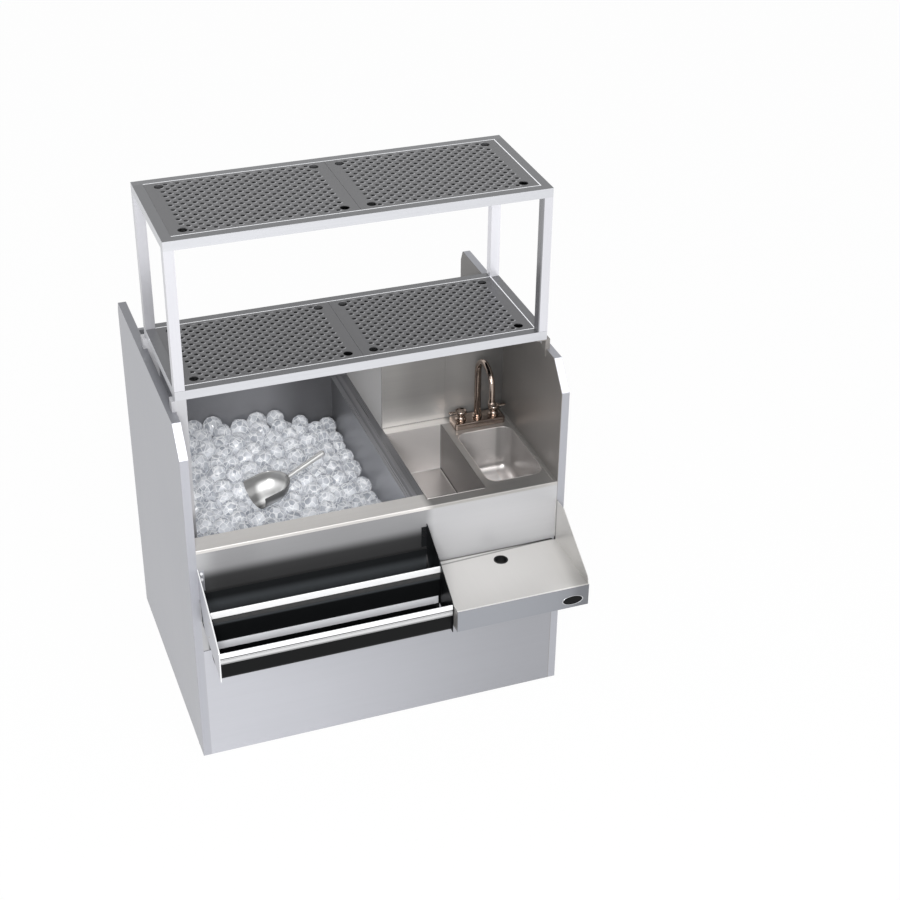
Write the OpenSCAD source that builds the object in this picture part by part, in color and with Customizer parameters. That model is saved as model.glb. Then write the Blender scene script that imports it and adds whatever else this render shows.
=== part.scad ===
// Underbar cocktail station: an ice bin, a sunken well and a hand sink between two side panels,
// with a double bottle rail and a drainboard in front and a two-tier perforated shelf above.
// Lengths are millimetres. X runs left to right, Y front to back, Z up from the floor.

/* [Body] */
// Overall width over the side panels
body_w = 1067; // [1020:1:1300]
// Depth of a side panel, front to back
panel_d = 780; // [740:1:900]
// Height of the side panels' top edge
panel_h = 1057; // [1020:1:1150]
// Thickness of a folded side panel
panel_t = 23; // [20:0.5:30]
// Sheet steel thickness
sheet = 1.5; // [1:0.1:2]
// Gap between the panels and the floor
foot_gap = 5; // [4:0.5:20]
// Front chamfer of a side panel, measured back along its top
cham_run = 63; // [40:1:100]
// Front chamfer of a side panel, measured down its front
cham_drop = 77; // [40:1:120]
// Rear chamfer of a side panel, measured along its top
rear_run = 14; // [8:1:40]
// Rear chamfer of a side panel, measured down its back
rear_drop = 32; // [20:1:60]
// Height of the rear wall and of the plumbing chase
back_h = 960; // [900:1:1000]
// Top of the lower front panel
lower_panel_h = 370; // [350:1:385]
// Width of a visible seam between two panels
seam = 2; // [1:0.1:3]
// Depth of the folded edges of the front panels
fold_d = 20; // [15:0.5:26]

/* [Worktop] */
// Height of the worktop
deck_h = 700; // [680:1:760]
// Depth of the ledge in front of the ice bin
ledge_d = 61; // [54:1:80]
// Height of the rounded front nose
nose_h = 10; // [6:0.5:16]
// Radius of the rounded front nose
nose_r = 3; // [2:0.1:5]
// Distance of the backsplash from the front face
splash_y = 424; // [420:1:460]

/* [Ice bin] */
// Height of the bin's floor
bin_floor_h = 400; // [390:1:430]
// Bin's right wall, from the middle of the body
bin_right = 88; // [70:1:100]
// Width of the insulated partition
partition_w = 52; // [40:1:56]
// Gap between the bin's rear wall and the back panel
rear_gap = 12; // [8:1:30]
// Thickness of the foam under the bin
foam_t = 40; // [30:1:45]
// Outer radius of the bin's drain pipe
bin_drain_r = 16.7; // [12:0.1:20]
// Wall of the bin's drain pipe
bin_drain_wall = 2.5; // [1.5:0.1:4]
// Length of the drain pipe below the bin's floor
bin_drain_len = 95; // [80:1:120]

/* [Sinks] */
// Inner width of the square well
well_w = 168.5; // [155:0.5:171]
// Inner length of the square well, front to back
well_l = 357; // [320:1:358]
// Distance from the front face to the well
well_front_y = 36; // [30:1:44]
// Height of the well's floor
well_floor_h = 550; // [500:1:600]
// Width of the strip between the well and the bowl
rim_w = 22; // [19.5:0.5:24]
// Inner width of the hand sink's bowl
bowl_w = 164; // [150:1:166]
// Inner length of the bowl, front to back
bowl_l = 267; // [240:1:269]
// Distance from the front face to the bowl
bowl_front_y = 58; // [54:1:66]
// Depth of the bowl
bowl_depth = 145; // [120:1:160]
// Radius of the bowl's corners
bowl_r = 30; // [20:1:36]
// Outer radius of the sink's tailpiece
tail_r = 19.05; // [16:0.05:19.5]
// Length of the sink's tailpiece
tail_len = 85; // [60:1:110]

/* [Faucet] */
// Width of the faucet's deck plate
plate_w = 155; // [150:0.5:160]
// Depth of the faucet's deck plate
plate_d = 58; // [50:0.5:62]
// Height of the faucet's deck plate
plate_h = 20; // [18:0.5:28]
// Distance from the front face to the spout's riser
faucet_y = 373; // [370:0.5:378]
// Distance between the hot and the cold handle
handle_spread = 101.6; // [98:0.1:104]
// Outer radius of the spout's tube
spout_r = 9; // [8.4:0.1:9.6]
// Wall of the spout's tube
spout_wall = 1.2; // [1:0.1:2]
// Height of the straight riser
riser_h = 147.5; // [120:0.5:160]
// Radius of the gooseneck at the middle of its tube
goose_r = 55.5; // [48:0.5:58]
// Length of a handle's lever from its axis
lever_l = 38; // [34:0.5:40]
// Outer radius of a supply shank
shank_r = 10.4; // [9:0.1:10.6]
// Length of a supply shank below the worktop
shank_len = 58; // [50:1:70]

/* [Over-shelf] */
// Distance from the front face to the shelves
shelf_y = 116; // [112:1:130]
// Depth of the shelves
shelf_d = 383; // [370:1:420]
// Top of the lower shelf
lower_shelf_h = 1114; // [1105:1:1190]
// Top of the upper shelf
upper_shelf_h = 1530; // [1450:1:1600]
// Width of the shelves' square tubes
tube_w = 27; // [24:0.5:30]
// Height of the shelves' rails
rail_h = 26; // [25:0.5:32]
// Thickness of a perforated insert
insert_t = 2; // [1.5:0.1:3]
// Diameter of a hole in an insert
perf_dia = 11; // [8:0.5:12]
// Distance between holes along a row
perf_pitch = 31.2; // [28:0.1:36]
// Distance between rows of holes
perf_row = 14.7; // [14:0.1:18]
// Diameter of a finger hole
finger_dia = 25; // [20:0.5:26]

/* [Bottle rail] */
// Length of the double rail
rail_l = 638.5; // [600:0.5:640]
// Depth of the double rail
rail_d = 212; // [190:1:230]
// Depth of the upper trough with its lip
upper_d = 112; // [100:1:116]
// Height where the rail's cheeks meet the apron
cheek_h = 645; // [635:1:655]
// Thickness of a cheek
cheek_t = 2; // [1.5:0.1:3]
// Top of the upper lip
upper_lip_h = 577; // [570:1:582]
// Top of the lower lip
lower_lip_h = 518; // [512:1:524]
// Height of the upper trough's floor
upper_floor_h = 465; // [460:1:480]
// Height of the lower trough's floor
lower_floor_h = 430; // [420:1:440]

/* [Drainboard] */
// Height of the drainboard
board_h = 514; // [500:1:530]
// Depth of the drainboard
board_d = 241; // [225:1:250]
// Height of the drainboard's front lip
board_lip = 65; // [50:1:70]
// Rise of the right cheek above the board
board_rise = 129; // [110:1:140]
// Bore radius of the drainboard's outlet
outlet_r = 16.5; // [14:0.1:17]

/* [Ice and scoop] */
// Diameter of a ball of ice
ice_dia = 50; // [46:0.5:54]
// Highest point of the ice
ice_top_h = 655; // [645:1:660]
// Radius of the rounded top of the heap of ice, which runs from front to back
mound_r = 800; // [720:10:1100]
// Radius of the scoop's bowl
scoop_r = 57; // [52:0.5:58]
// Length of the straight part of the scoop's bowl
scoop_l = 50; // [40:1:55]
// Length of the scoop's handle
scoop_handle_l = 140; // [120:1:145]
// Turn of the scoop in the bin, in degrees
scoop_turn = 18; // [10:1:24]

/* [Hidden] */
$fn = 48;

// One overrun for every cut, the gap of a part that turns and the gap under one that lifts out
over = 1;
run_gap = 0.05;
lift_gap = 0.3;

half_w = body_w / 2;
in_x = half_w - panel_t;

// Levelling feet
foot_r = 10.5;
foot_stem_r = 5;
foot_stem_h = 32;
foot_nut_r = 8;
foot_nut_h = 6;
foot_inset = 60;
foot_play = 0.5;

// Sills, cross rails and the channel behind the sinks
sill_d = 30;
sill_h = 60;
cross_h = 40;
channel_h = 38;
channel_d = 28;
partition_right = bin_right + partition_w;
bin_under_h = bin_floor_h - sheet;
base_top_h = bin_under_h - foam_t;
bin_back_y = panel_d - rear_gap - sheet;
apron_h = deck_h - nose_h;
apron_low_h = lower_panel_h + seam;

// Top of the partition: a low ridge between two sloping strips
ridge_rise = 1;
ridge_share = 0.46;
ridge_fall = 1;
cap_flat = 6;

// Sinks
well_x = partition_right + sheet;
bowl_x = well_x + well_w + rim_w;
bowl_mid_x = bowl_x + bowl_w / 2;
bowl_mid_y = bowl_front_y + bowl_l / 2;
bowl_floor_h = deck_h - bowl_depth;
bowl_play = 0.3;
bowl_flange = 10;
drain_hole_r = 22;
strainer_r = 38;
strainer_play = 0.4;
strainer_h = 20;
strainer_slot_r = 3;
strainer_ring_r = 12;
tail_wall = 1.2;
tail_nut_r = 26;
tail_nut_h = 12;
bin_flange_r = 32;
bin_grate_r = 4;
bin_drain_step = 1;
bin_body_r = bin_drain_r + bin_drain_step;
bin_body_len = foam_t + 2 * sheet + 2 * bin_drain_step;

// Faucet
plate_r = 6;
plate_bevel = 3;
collar_r = 14;
collar_h = 12;
spout_drop = 34;
spigot_r = 8;
spigot_h = 12;
aerator_r = 11;
aerator_h = 16;
hub_r = 16.5;
hub_top_r = 11;
hub_h = 21;
stem_r = 5;
stem_h = 12;
lever_w = 13;
lever_t = 8;
nut_r = 19;
nut_h = 8;
shank_bore_r = 6;
shank_play = 0.6;
shank_thread = 0.3;
shank_thread_len = sheet + nut_h + 2 * over;

// Over-shelf
leg_low_h = 630;
leg_shoulder = 10;
bracket_h = 52;
bracket_t = 3;
pan_flange = 11;
pan_bar = 20;
shelf_lip = 12;
insert_play = 0.3;
skirt_h = 8;
skirt_play = 0.5;
perf_edge = 38;
row_edge = 15;
finger_x = 35;
finger_y = 26;
vent_r = 2.5;
vent_in = 13.5;
perf_sides = 16;

// Bottle rail. The cheek's corners are shares of its depth and of its height.
cheek_low_h = 428;
cheek_shares = [[0, 1], [0.51, 0.735], [0.97, 0.45], [1, 0.41], [1, 0], [0.79, 0.03], [0.54, 0.11],
    [0.18, 0.21], [0.03, 0.54], [0, 0.54]];
lip_t = 5;
lip_h = 20;
lip_web_t = 2.5;
lip_seam = 2;
lip_low_h = 12;
trough_r = 12;
upper_back_h = 562;
lower_back_h = 540;
flange_w = 15;
flange_low_h = 572;
flange_h = 64;
screw_r = 4;
screw_h = 2;
screw_step = 19;

// Drainboard
board_gap = 2;
board_notch = 9;
board_cheek_shares = [[0, 1], [0.227, 1], [0.95, 0.16], [1, 0]];
gusset_in = 24;
gusset_t = 2;
gusset_w = 22;
gusset_share = 0.85;
outlet_x = 326;
outlet_y = 54;
outlet_wall = 1.5;
outlet_len = 42;
outlet_rim = 2;
outlet_rim_t = 0.8;
badge_w = 62;
badge_h = 29;
badge_t = 1;
badge_in = 47;
badge_drop = 41;
badge_rim = 2;
badge_dish = 0.4;
mid_y = (panel_d - board_d - badge_t) / 2;

// Ice and scoop
ice_gap = 0.4;
ice_step = ice_dia + ice_gap;
mound_z = ice_top_h - mound_r;
ice_sides = 24;
mound_sides = 240;
scoop_x = -232;
scoop_y = 305;
scoop_tip = 6;
scoop_wall = 1.5;
scoop_grip_r = 9;
scoop_grip_up = 10;
scoop_grip_drop = 6;
scoop_tang = 6;
scoop_keep = 3;

// Places the drawing, whose front face is y = 0, over the middle of the whole footprint
module place() translate([0, -mid_y, 0]) children();

// A block between two values on each axis
module block(x0, x1, y0, y1, z0, z1) translate([x0, y0, z0]) cube([x1 - x0, y1 - y0, z1 - z0]);

// A profile drawn in y and z, carried from x0 to x1
module across(x0, x1) translate([x0, 0, 0]) rotate([90, 0, 90]) linear_extrude(x1 - x0) children();

// A rectangle with round corners
module rounded(x0, x1, y0, y1, r) {
    translate([x0 + r, y0]) square([x1 - x0 - 2 * r, y1 - y0]);
    translate([x0, y0 + r]) square([x1 - x0, y1 - y0 - 2 * r]);
    for (x = [x0 + r, x1 - r]) for (y = [y0 + r, y1 - r]) translate([x, y]) circle(r);
}

// A square tube along z, closed at neither end
module upright(x0, x1, y0, y1, z0, z1) difference() {
    block(x0, x1, y0, y1, z0, z1);
    block(x0 + sheet, x1 - sheet, y0 + sheet, y1 - sheet, z0 - over, z1 + over);
}

// Side panels: outline of the folded panel, drawn in by s
function slope_z(run, drop, s) = panel_h - drop + s * (drop - norm([run, drop])) / run;
function slope_y(run, drop, s) = (run * (drop - s) + s * norm([run, drop])) / drop;
function side_outline(s) = [
    [s, foot_gap + s],
    [s, slope_z(cham_run, cham_drop, s)],
    [slope_y(cham_run, cham_drop, s), panel_h - s],
    [panel_d - slope_y(rear_run, rear_drop, s), panel_h - s],
    [panel_d - s, slope_z(rear_run, rear_drop, s)],
    [panel_d - s, foot_gap + s]
];
foot_x = half_w - (panel_t - sheet) / 2;
foot_ys = [foot_inset, panel_d - foot_inset];

module side_tray() difference() {
    across(in_x + sheet, half_w) polygon(side_outline(0));
    across(in_x + sheet - over, half_w - sheet) polygon(side_outline(sheet));
    for (y = foot_ys) translate([foot_x, y, foot_gap - over]) cylinder(r = foot_stem_r + foot_play, h = sheet + 2 * over);
}
module side_skin() across(in_x, in_x + sheet) polygon(side_outline(0));

module left_side_panel() color("#b0b2b8") place() mirror([1, 0, 0]) side_tray();
module left_side_liner() color("#c6c6ca") place() mirror([1, 0, 0]) side_skin();
module right_side_panel() color("#b0b2b8") place() side_tray();
module right_side_liner() color("#a8a39d") place() side_skin();

module levelling_feet() color("#8c8f94") place()
    for (x = [-foot_x, foot_x]) for (y = foot_ys) translate([x, y, 0]) {
        cylinder(r = foot_r, h = foot_gap);
        cylinder(r = foot_stem_r, h = foot_gap + foot_stem_h);
        translate([0, 0, foot_gap + sheet]) cylinder(r = foot_nut_r, h = foot_nut_h);
    }

// A channel across the body, open towards the back
module channel(y0, y1, z0, z1) difference() {
    block(-in_x, in_x, y0, y1, z0, z1);
    block(-in_x - over, in_x + over, y0 + sheet, y1 + over, z0 + sheet, z1 - sheet);
}
module front_sill() color("#9fa1a6") place() channel(fold_d, fold_d + sill_d, foot_gap + fold_d, foot_gap + fold_d + sill_h);
module front_cross_rail() color("#9fa1a6") place()
    channel(fold_d, fold_d + sill_d, lower_panel_h - fold_d, bin_under_h);
module bin_cross_rails() color("#9fa1a6") place() for (y = [2 * fold_d + 2 * sill_d, bin_back_y - 2 * sill_d])
    channel(y, y + sill_d, base_top_h - sheet - cross_h, base_top_h - sheet);

// Front panels are shallow pans with folded edges
module lower_front_panel() color("#a9abb2") place() difference() {
    block(-in_x, in_x, 0, fold_d, foot_gap, lower_panel_h);
    block(-in_x + sheet, in_x - sheet, sheet, fold_d + over, foot_gap + sheet, lower_panel_h - sheet);
}
module front_apron() color("#c3c5c9") place() {
    block(-in_x, in_x, 0, sheet, apron_low_h, apron_h);
    block(-in_x, in_x, sheet, fold_d, apron_low_h, apron_low_h + sheet);
}
module back_panel() color("#a9abb2") place() {
    block(-in_x, in_x, panel_d - sheet, panel_d, foot_gap, back_h);
    block(-in_x, in_x, panel_d - rear_gap, panel_d - sheet, back_h - sheet, back_h);
}

// Worktop: the ledge, the sink deck and a rounded nose along the front
module nose_profile() difference() {
    union() {
        translate([nose_r, apron_h]) square([ledge_d - nose_r, nose_h]);
        translate([0, apron_h]) square([nose_r, nose_h - nose_r]);
        translate([nose_r, deck_h - nose_r]) circle(nose_r);
    }
    translate([sheet, apron_h - over]) square([ledge_d, nose_h - sheet + over]);
}
module bowl_outline(grow) rounded(bowl_x - grow, bowl_x + bowl_w + grow,
    bowl_front_y - grow, bowl_front_y + bowl_l + grow, bowl_r + grow);
module worktop() color("#b9b4ae") place() difference() {
    union() {
        across(-in_x, in_x) nose_profile();
        block(partition_right, in_x, ledge_d, splash_y + sheet, deck_h - sheet, deck_h);
    }
    block(partition_right - over, well_x + well_w + sheet, well_front_y - sheet, well_front_y + well_l + sheet,
        deck_h - sheet - over, deck_h + over);
    translate([0, 0, deck_h - sheet - over]) linear_extrude(sheet + 2 * over) bowl_outline(sheet + bowl_play);
    for (s = [-1, 1]) translate([bowl_mid_x + s * handle_spread / 2, faucet_y, deck_h - sheet - over])
        cylinder(r = shank_r + shank_play, h = sheet + 2 * over);
}
module deck_rear_channel() color("#9fa1a6") place() difference() {
    block(partition_right, in_x, splash_y + sheet - channel_d, splash_y + sheet, deck_h - sheet - channel_h, deck_h - sheet);
    block(partition_right - over, in_x + over, splash_y + 2 * sheet - channel_d, splash_y,
        deck_h - sheet - channel_h - over, deck_h - 2 * sheet);
}

// Splash walls round the plumbing chase
module backsplash() color("#aaa59f") place() difference() {
    block(partition_right, in_x, splash_y, splash_y + sheet, deck_h, back_h - sheet);
    block(bowl_x - seam / 2, bowl_x, splash_y - over, splash_y + sheet / 2, deck_h - over, back_h);
}
module chase_side_wall() color("#aaa59f") place()
    block(partition_right - sheet, partition_right, splash_y, panel_d - rear_gap, deck_h, back_h - sheet);
module chase_cover() color("#aaa59f") place()
    block(partition_right - sheet, in_x, splash_y, panel_d - rear_gap, back_h - sheet, back_h);

// Ice bin
bin_mid_x = (bin_right - in_x) / 2;
bin_mid_y = (ledge_d + bin_back_y) / 2;
module bin_liner() color("#8e9096") place() {
    difference() {
        union() {
            block(-in_x, bin_right + sheet, ledge_d - sheet, bin_back_y + sheet, bin_under_h, deck_h - sheet);
            block(-in_x, partition_right - sheet, bin_back_y, bin_back_y + sheet, deck_h - 2 * sheet, back_h);
        }
        block(-in_x + sheet, bin_right, ledge_d, bin_back_y, bin_floor_h, deck_h);
        translate([bin_mid_x, bin_mid_y, bin_under_h - over]) cylinder(r = bin_body_r + run_gap, h = sheet + 2 * over);
    }
}
module bin_partition() color("#808389") place() {
    translate([0, ledge_d, 0]) rotate([90, 0, 0]) mirror([0, 0, 1]) linear_extrude(bin_back_y - ledge_d)
        polygon([[bin_right, deck_h - sheet], [bin_right, deck_h - ridge_fall],
            [bin_right + ridge_share * partition_w, deck_h + ridge_rise],
            [partition_right - cap_flat, deck_h], [partition_right, deck_h], [partition_right, deck_h - sheet]]);
    block(partition_right - sheet, partition_right, ledge_d, bin_back_y, bin_under_h, deck_h - sheet);
}
module bin_insulation() color("#e8dcae") place() {
    difference() {
        block(-in_x, partition_right - sheet, fold_d + sill_d, bin_back_y, base_top_h, bin_under_h);
        translate([bin_mid_x, bin_mid_y, base_top_h - over])
            cylinder(r = bin_body_r + foot_play, h = foam_t + 2 * over);
    }
    block(-in_x, partition_right - sheet, sheet, ledge_d - sheet, bin_under_h, apron_h);
    block(bin_right + sheet, partition_right - sheet, ledge_d - sheet, bin_back_y, bin_under_h, deck_h - sheet);
}
module bin_base_sheet() color("#9fa1a6") place() difference() {
    block(-in_x, partition_right, fold_d + sill_d, bin_back_y, base_top_h - sheet, base_top_h);
    translate([bin_mid_x, bin_mid_y, base_top_h - sheet - over])
        cylinder(r = bin_body_r + foot_play, h = sheet + 2 * over);
}
module bin_drain() color("#9a9ca0") place() translate([bin_mid_x, bin_mid_y, bin_floor_h]) difference() {
    union() {
        cylinder(r = bin_flange_r, h = sheet);
        translate([0, 0, -bin_body_len]) cylinder(r = bin_body_r, h = bin_body_len);
        translate([0, 0, -bin_drain_len]) cylinder(r = bin_drain_r, h = bin_drain_len);
    }
    translate([0, 0, -bin_drain_len - over]) cylinder(r = bin_drain_r - bin_drain_wall, h = bin_drain_len);
    for (a = [0 : 60 : 300]) rotate(a) translate([(bin_drain_r - bin_drain_wall) / 2, 0, -over - sheet])
        cylinder(r = bin_grate_r / 2, h = 2 * sheet + 2 * over);
}

// Square well and round-cornered bowl
module well_pan() color("#9b9690") place() difference() {
    block(partition_right, well_x + well_w + sheet, well_front_y - sheet, well_front_y + well_l + sheet, well_floor_h - sheet, deck_h);
    block(well_x, well_x + well_w, well_front_y, well_front_y + well_l, well_floor_h, deck_h + over);
}
module bowl_shape(grow) {
    x0 = bowl_x - grow;
    x1 = bowl_x + bowl_w + grow;
    y0 = bowl_front_y - grow;
    y1 = bowl_front_y + bowl_l + grow;
    z0 = bowl_floor_h - grow;
    r = bowl_r + grow;
    top = deck_h + grow;
    block(x0 + r, x1 - r, y0 + r, y1 - r, z0, top);
    block(x0 + r, x1 - r, y0, y1, z0 + r, top);
    block(x0, x1, y0 + r, y1 - r, z0 + r, top);
    for (x = [x0 + r, x1 - r]) {
        for (y = [y0 + r, y1 - r]) translate([x, y, z0 + r]) {
            cylinder(r = r, h = top - z0 - r);
            sphere(r);
        }
        translate([x, y0 + r, z0 + r]) rotate([-90, 0, 0]) cylinder(r = r, h = y1 - y0 - 2 * r);
    }
    for (y = [y0 + r, y1 - r]) translate([x0 + r, y, z0 + r]) rotate([0, 90, 0]) cylinder(r = r, h = x1 - x0 - 2 * r);
}
module sink_bowl() color("#a39e98") place() difference() {
    union() {
        intersection() {
            bowl_shape(sheet);
            block(bowl_x - 2 * sheet, bowl_x + bowl_w + 2 * sheet, bowl_front_y - 2 * sheet,
                bowl_front_y + bowl_l + 2 * sheet, bowl_floor_h - 2 * sheet, deck_h);
        }
        translate([0, 0, deck_h - 2 * sheet]) linear_extrude(sheet) bowl_outline(sheet + bowl_flange);
    }
    bowl_shape(0);
    block(bowl_x + bowl_r, bowl_x + bowl_w - bowl_r, bowl_front_y + bowl_r, bowl_front_y + bowl_l - bowl_r,
        bowl_floor_h, deck_h + over);
    translate([0, 0, deck_h - over]) linear_extrude(2 * over) bowl_outline(0);
    translate([bowl_mid_x, bowl_mid_y, bowl_floor_h - sheet - over]) cylinder(r = drain_hole_r, h = sheet + 2 * over);
}
module sink_strainer() color("#c9c9c9") place() translate([bowl_mid_x, bowl_mid_y, bowl_floor_h]) difference() {
    union() {
        cylinder(r = strainer_r, h = sheet);
        translate([0, 0, -strainer_h]) cylinder(r = drain_hole_r - strainer_play, h = strainer_h);
    }
    translate([0, 0, -strainer_h - over]) cylinder(r = drain_hole_r - strainer_play - sheet, h = strainer_h - sheet + over);
    for (a = [0 : 60 : 300]) rotate(a) translate([strainer_ring_r, 0, -2 * sheet - over])
        cylinder(r = strainer_slot_r, h = 3 * sheet + 2 * over);
    translate([0, 0, -2 * sheet - over]) cylinder(r = strainer_slot_r, h = 3 * sheet + 2 * over);
}
module sink_tailpiece() color("#c4c4c4") place() translate([bowl_mid_x, bowl_mid_y, bowl_floor_h - strainer_h]) difference() {
    union() {
        translate([0, 0, -tail_len]) cylinder(r = tail_r, h = tail_len);
        translate([0, 0, -tail_nut_h]) cylinder(r = tail_nut_r, h = tail_nut_h);
    }
    translate([0, 0, -tail_len - over]) cylinder(r = tail_r - tail_wall, h = tail_len + 2 * over);
}

// Faucet
plate_top_h = deck_h + plate_h;
module faucet_plate() color("#b7aaa0") place() difference() {
    translate([bowl_mid_x, faucet_y, deck_h]) {
        linear_extrude(plate_h - plate_bevel) rounded(-plate_w / 2, plate_w / 2, -plate_d / 2, plate_d / 2, plate_r);
        linear_extrude(plate_h) rounded(-plate_w / 2 + plate_bevel, plate_w / 2 - plate_bevel,
            -plate_d / 2 + plate_bevel, plate_d / 2 - plate_bevel, plate_r - plate_bevel / 2);
    }
    translate([bowl_mid_x, faucet_y, plate_top_h - spigot_h - lift_gap])
        cylinder(r = spigot_r + run_gap, h = spigot_h + over);
    for (s = [-1, 1]) translate([bowl_mid_x + s * handle_spread / 2, faucet_y, plate_top_h - stem_h - lift_gap])
        cylinder(r = stem_r + run_gap, h = stem_h + over);
}
module faucet_spout() color("#c9beb6") place() translate([bowl_mid_x, faucet_y, plate_top_h]) difference() {
    union() {
        translate([0, 0, -spigot_h]) cylinder(r = spigot_r, h = spigot_h + lift_gap);
        translate([0, 0, lift_gap]) cylinder(r = collar_r, h = collar_h - lift_gap);
        translate([0, 0, lift_gap]) cylinder(r = spout_r, h = riser_h - lift_gap);
        translate([0, -goose_r, riser_h]) rotate([90, 0, 90]) rotate_extrude(angle = 180) translate([goose_r, 0]) circle(spout_r);
        translate([0, -2 * goose_r, riser_h - spout_drop]) cylinder(r = spout_r, h = spout_drop);
    }
    translate([0, -2 * goose_r, riser_h - spout_drop - over]) cylinder(r = spout_r - spout_wall, h = spout_drop / 2);
}
module spout_aerator() color("#c9beb6") place()
    translate([bowl_mid_x, faucet_y - 2 * goose_r, plate_top_h + riser_h - spout_drop - aerator_h]) difference() {
        cylinder(r = aerator_r, h = aerator_h);
        translate([0, 0, -over]) cylinder(r = spout_r, h = aerator_h / 2);
    }
module handle() {
    translate([0, 0, -stem_h]) cylinder(r = stem_r, h = stem_h + lift_gap);
    translate([0, 0, lift_gap]) cylinder(r1 = hub_r, r2 = hub_top_r, h = hub_h - lift_gap);
    translate([0, 0, hub_h]) cylinder(r = hub_r, h = lever_t);
    translate([0, -lever_w / 2, hub_h]) cube([lever_l - lever_w / 2, lever_w, lever_t]);
    translate([lever_l - lever_w / 2, 0, hub_h]) cylinder(r = lever_w / 2, h = lever_t);
}
module hot_handle() color("#b9aca3") place()
    translate([bowl_mid_x - handle_spread / 2, faucet_y, plate_top_h]) rotate(180) handle();
module cold_handle() color("#b9aca3") place()
    translate([bowl_mid_x + handle_spread / 2, faucet_y, plate_top_h]) handle();
module supply_shanks() color("#b59a62") place() for (s = [-1, 1])
    translate([bowl_mid_x + s * handle_spread / 2, faucet_y, deck_h - shank_len]) difference() {
        union() {
            cylinder(r = shank_r, h = shank_len);
            translate([0, 0, shank_len - shank_thread_len]) cylinder(r = shank_r + shank_thread, h = shank_thread_len);
        }
        translate([0, 0, -over]) cylinder(r = shank_bore_r, h = shank_len);
    }
module shank_nuts() color("#b59a62") place() for (s = [-1, 1])
    translate([bowl_mid_x + s * handle_spread / 2, faucet_y, deck_h - sheet - nut_h]) difference() {
        cylinder(r = nut_r, h = nut_h, $fn = 6);
        translate([0, 0, -over]) cylinder(r = shank_r + shank_thread + run_gap, h = nut_h + 2 * over);
    }

// Over-shelf: legs and brackets carry the lower frame, four posts carry the upper one
shelf_back_y = shelf_y + shelf_d;
lower_under_h = lower_shelf_h - rail_h;
post_ys = [shelf_y, shelf_back_y - tube_w];
module left_shelf_legs() color("#cfcfd2") place() for (y = post_ys) {
    upright(-in_x + sheet, -in_x + sheet + tube_w, y, y + tube_w, leg_low_h, lower_under_h - bracket_t);
    block(-in_x - leg_shoulder, -in_x + sheet + tube_w, y, y + tube_w, lower_under_h - bracket_t, lower_under_h);
    block(-in_x - leg_shoulder, -in_x - leg_shoulder + bracket_t, y, y + tube_w, panel_h, lower_under_h - bracket_t);
    block(-in_x - leg_shoulder, -in_x + sheet, y, y + bracket_t, panel_h, lower_under_h - bracket_t);
}
module right_shelf_brackets() color("#cfcfd2") place() for (y = post_ys) {
    block(in_x - bracket_t, in_x, y, y + tube_w, lower_under_h - bracket_h, lower_under_h - bracket_t);
    block(in_x - tube_w, in_x + leg_shoulder, y, y + tube_w, lower_under_h - bracket_t, lower_under_h);
    block(in_x + leg_shoulder - bracket_t, in_x + leg_shoulder, y, y + tube_w, panel_h, lower_under_h - bracket_t);
    block(in_x, in_x + leg_shoulder, y, y + bracket_t, panel_h, lower_under_h - bracket_t);
}
// A ring of hollow tube with an inner lip that carries the drip pan
module shelf_frame(top) {
    low = top - rail_h;
    difference() {
        block(-in_x, in_x, shelf_y, shelf_back_y, low, top);
        block(-in_x + tube_w, in_x - tube_w, shelf_y + tube_w, shelf_back_y - tube_w, low - over, top + over);
        difference() {
            block(-in_x + sheet, in_x - sheet, shelf_y + sheet, shelf_back_y - sheet, low + sheet, top - sheet);
            block(-in_x + tube_w - sheet, in_x - tube_w + sheet, shelf_y + tube_w - sheet,
                shelf_back_y - tube_w + sheet, low - over, top + over);
        }
        for (x = [-in_x + vent_in, in_x - vent_in]) for (y = [shelf_y + vent_in, shelf_back_y - vent_in])
            translate([x, y, low - over]) cylinder(r = vent_r, h = 2 * over + sheet);
    }
    difference() {
        block(-in_x + tube_w, in_x - tube_w, shelf_y + tube_w, shelf_back_y - tube_w, low, low + sheet);
        block(-in_x + tube_w + shelf_lip, in_x - tube_w - shelf_lip, shelf_y + tube_w + shelf_lip,
            shelf_back_y - tube_w - shelf_lip, low - over, low + sheet + over);
    }
}
module lower_shelf_frame() color("#d4d4d7") place() shelf_frame(lower_shelf_h);
module upper_shelf_frame() color("#d4d4d7") place() shelf_frame(upper_shelf_h);

module post(sx, y) {
    x0 = sx < 0 ? -in_x : in_x - tube_w;
    upright(x0, x0 + tube_w, y, y + tube_w, lower_shelf_h, upper_shelf_h - rail_h);
}
module front_left_post() color("#dcdcdf") place() post(-1, post_ys[0]);
module front_right_post() color("#dcdcdf") place() post(1, post_ys[0]);
module rear_left_post() color("#dcdcdf") place() post(-1, post_ys[1]);
module rear_right_post() color("#dcdcdf") place() post(1, post_ys[1]);

// Drip pan: a shallow tray whose rim and middle bar carry the two inserts
bay_x = in_x - tube_w;
bay_y0 = shelf_y + tube_w;
bay_y1 = shelf_back_y - tube_w;
module drip_pan(top) {
    rim = top - insert_t - lift_gap;
    floor_h = top - rail_h + sheet;
    difference() {
        block(-bay_x, bay_x, bay_y0, bay_y1, floor_h, rim);
        block(-bay_x + sheet, bay_x - sheet, bay_y0 + sheet, bay_y1 - sheet, floor_h + sheet, rim - sheet);
        for (s = [-1, 1]) block(s < 0 ? -bay_x + pan_flange : pan_bar / 2, s < 0 ? -pan_bar / 2 : bay_x - pan_flange,
            bay_y0 + pan_flange, bay_y1 - pan_flange, rim - sheet - over, rim + over);
    }
}
module lower_drip_pan() color("#6d6e72") place() drip_pan(lower_shelf_h);
module upper_drip_pan() color("#6d6e72") place() drip_pan(upper_shelf_h);

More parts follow.
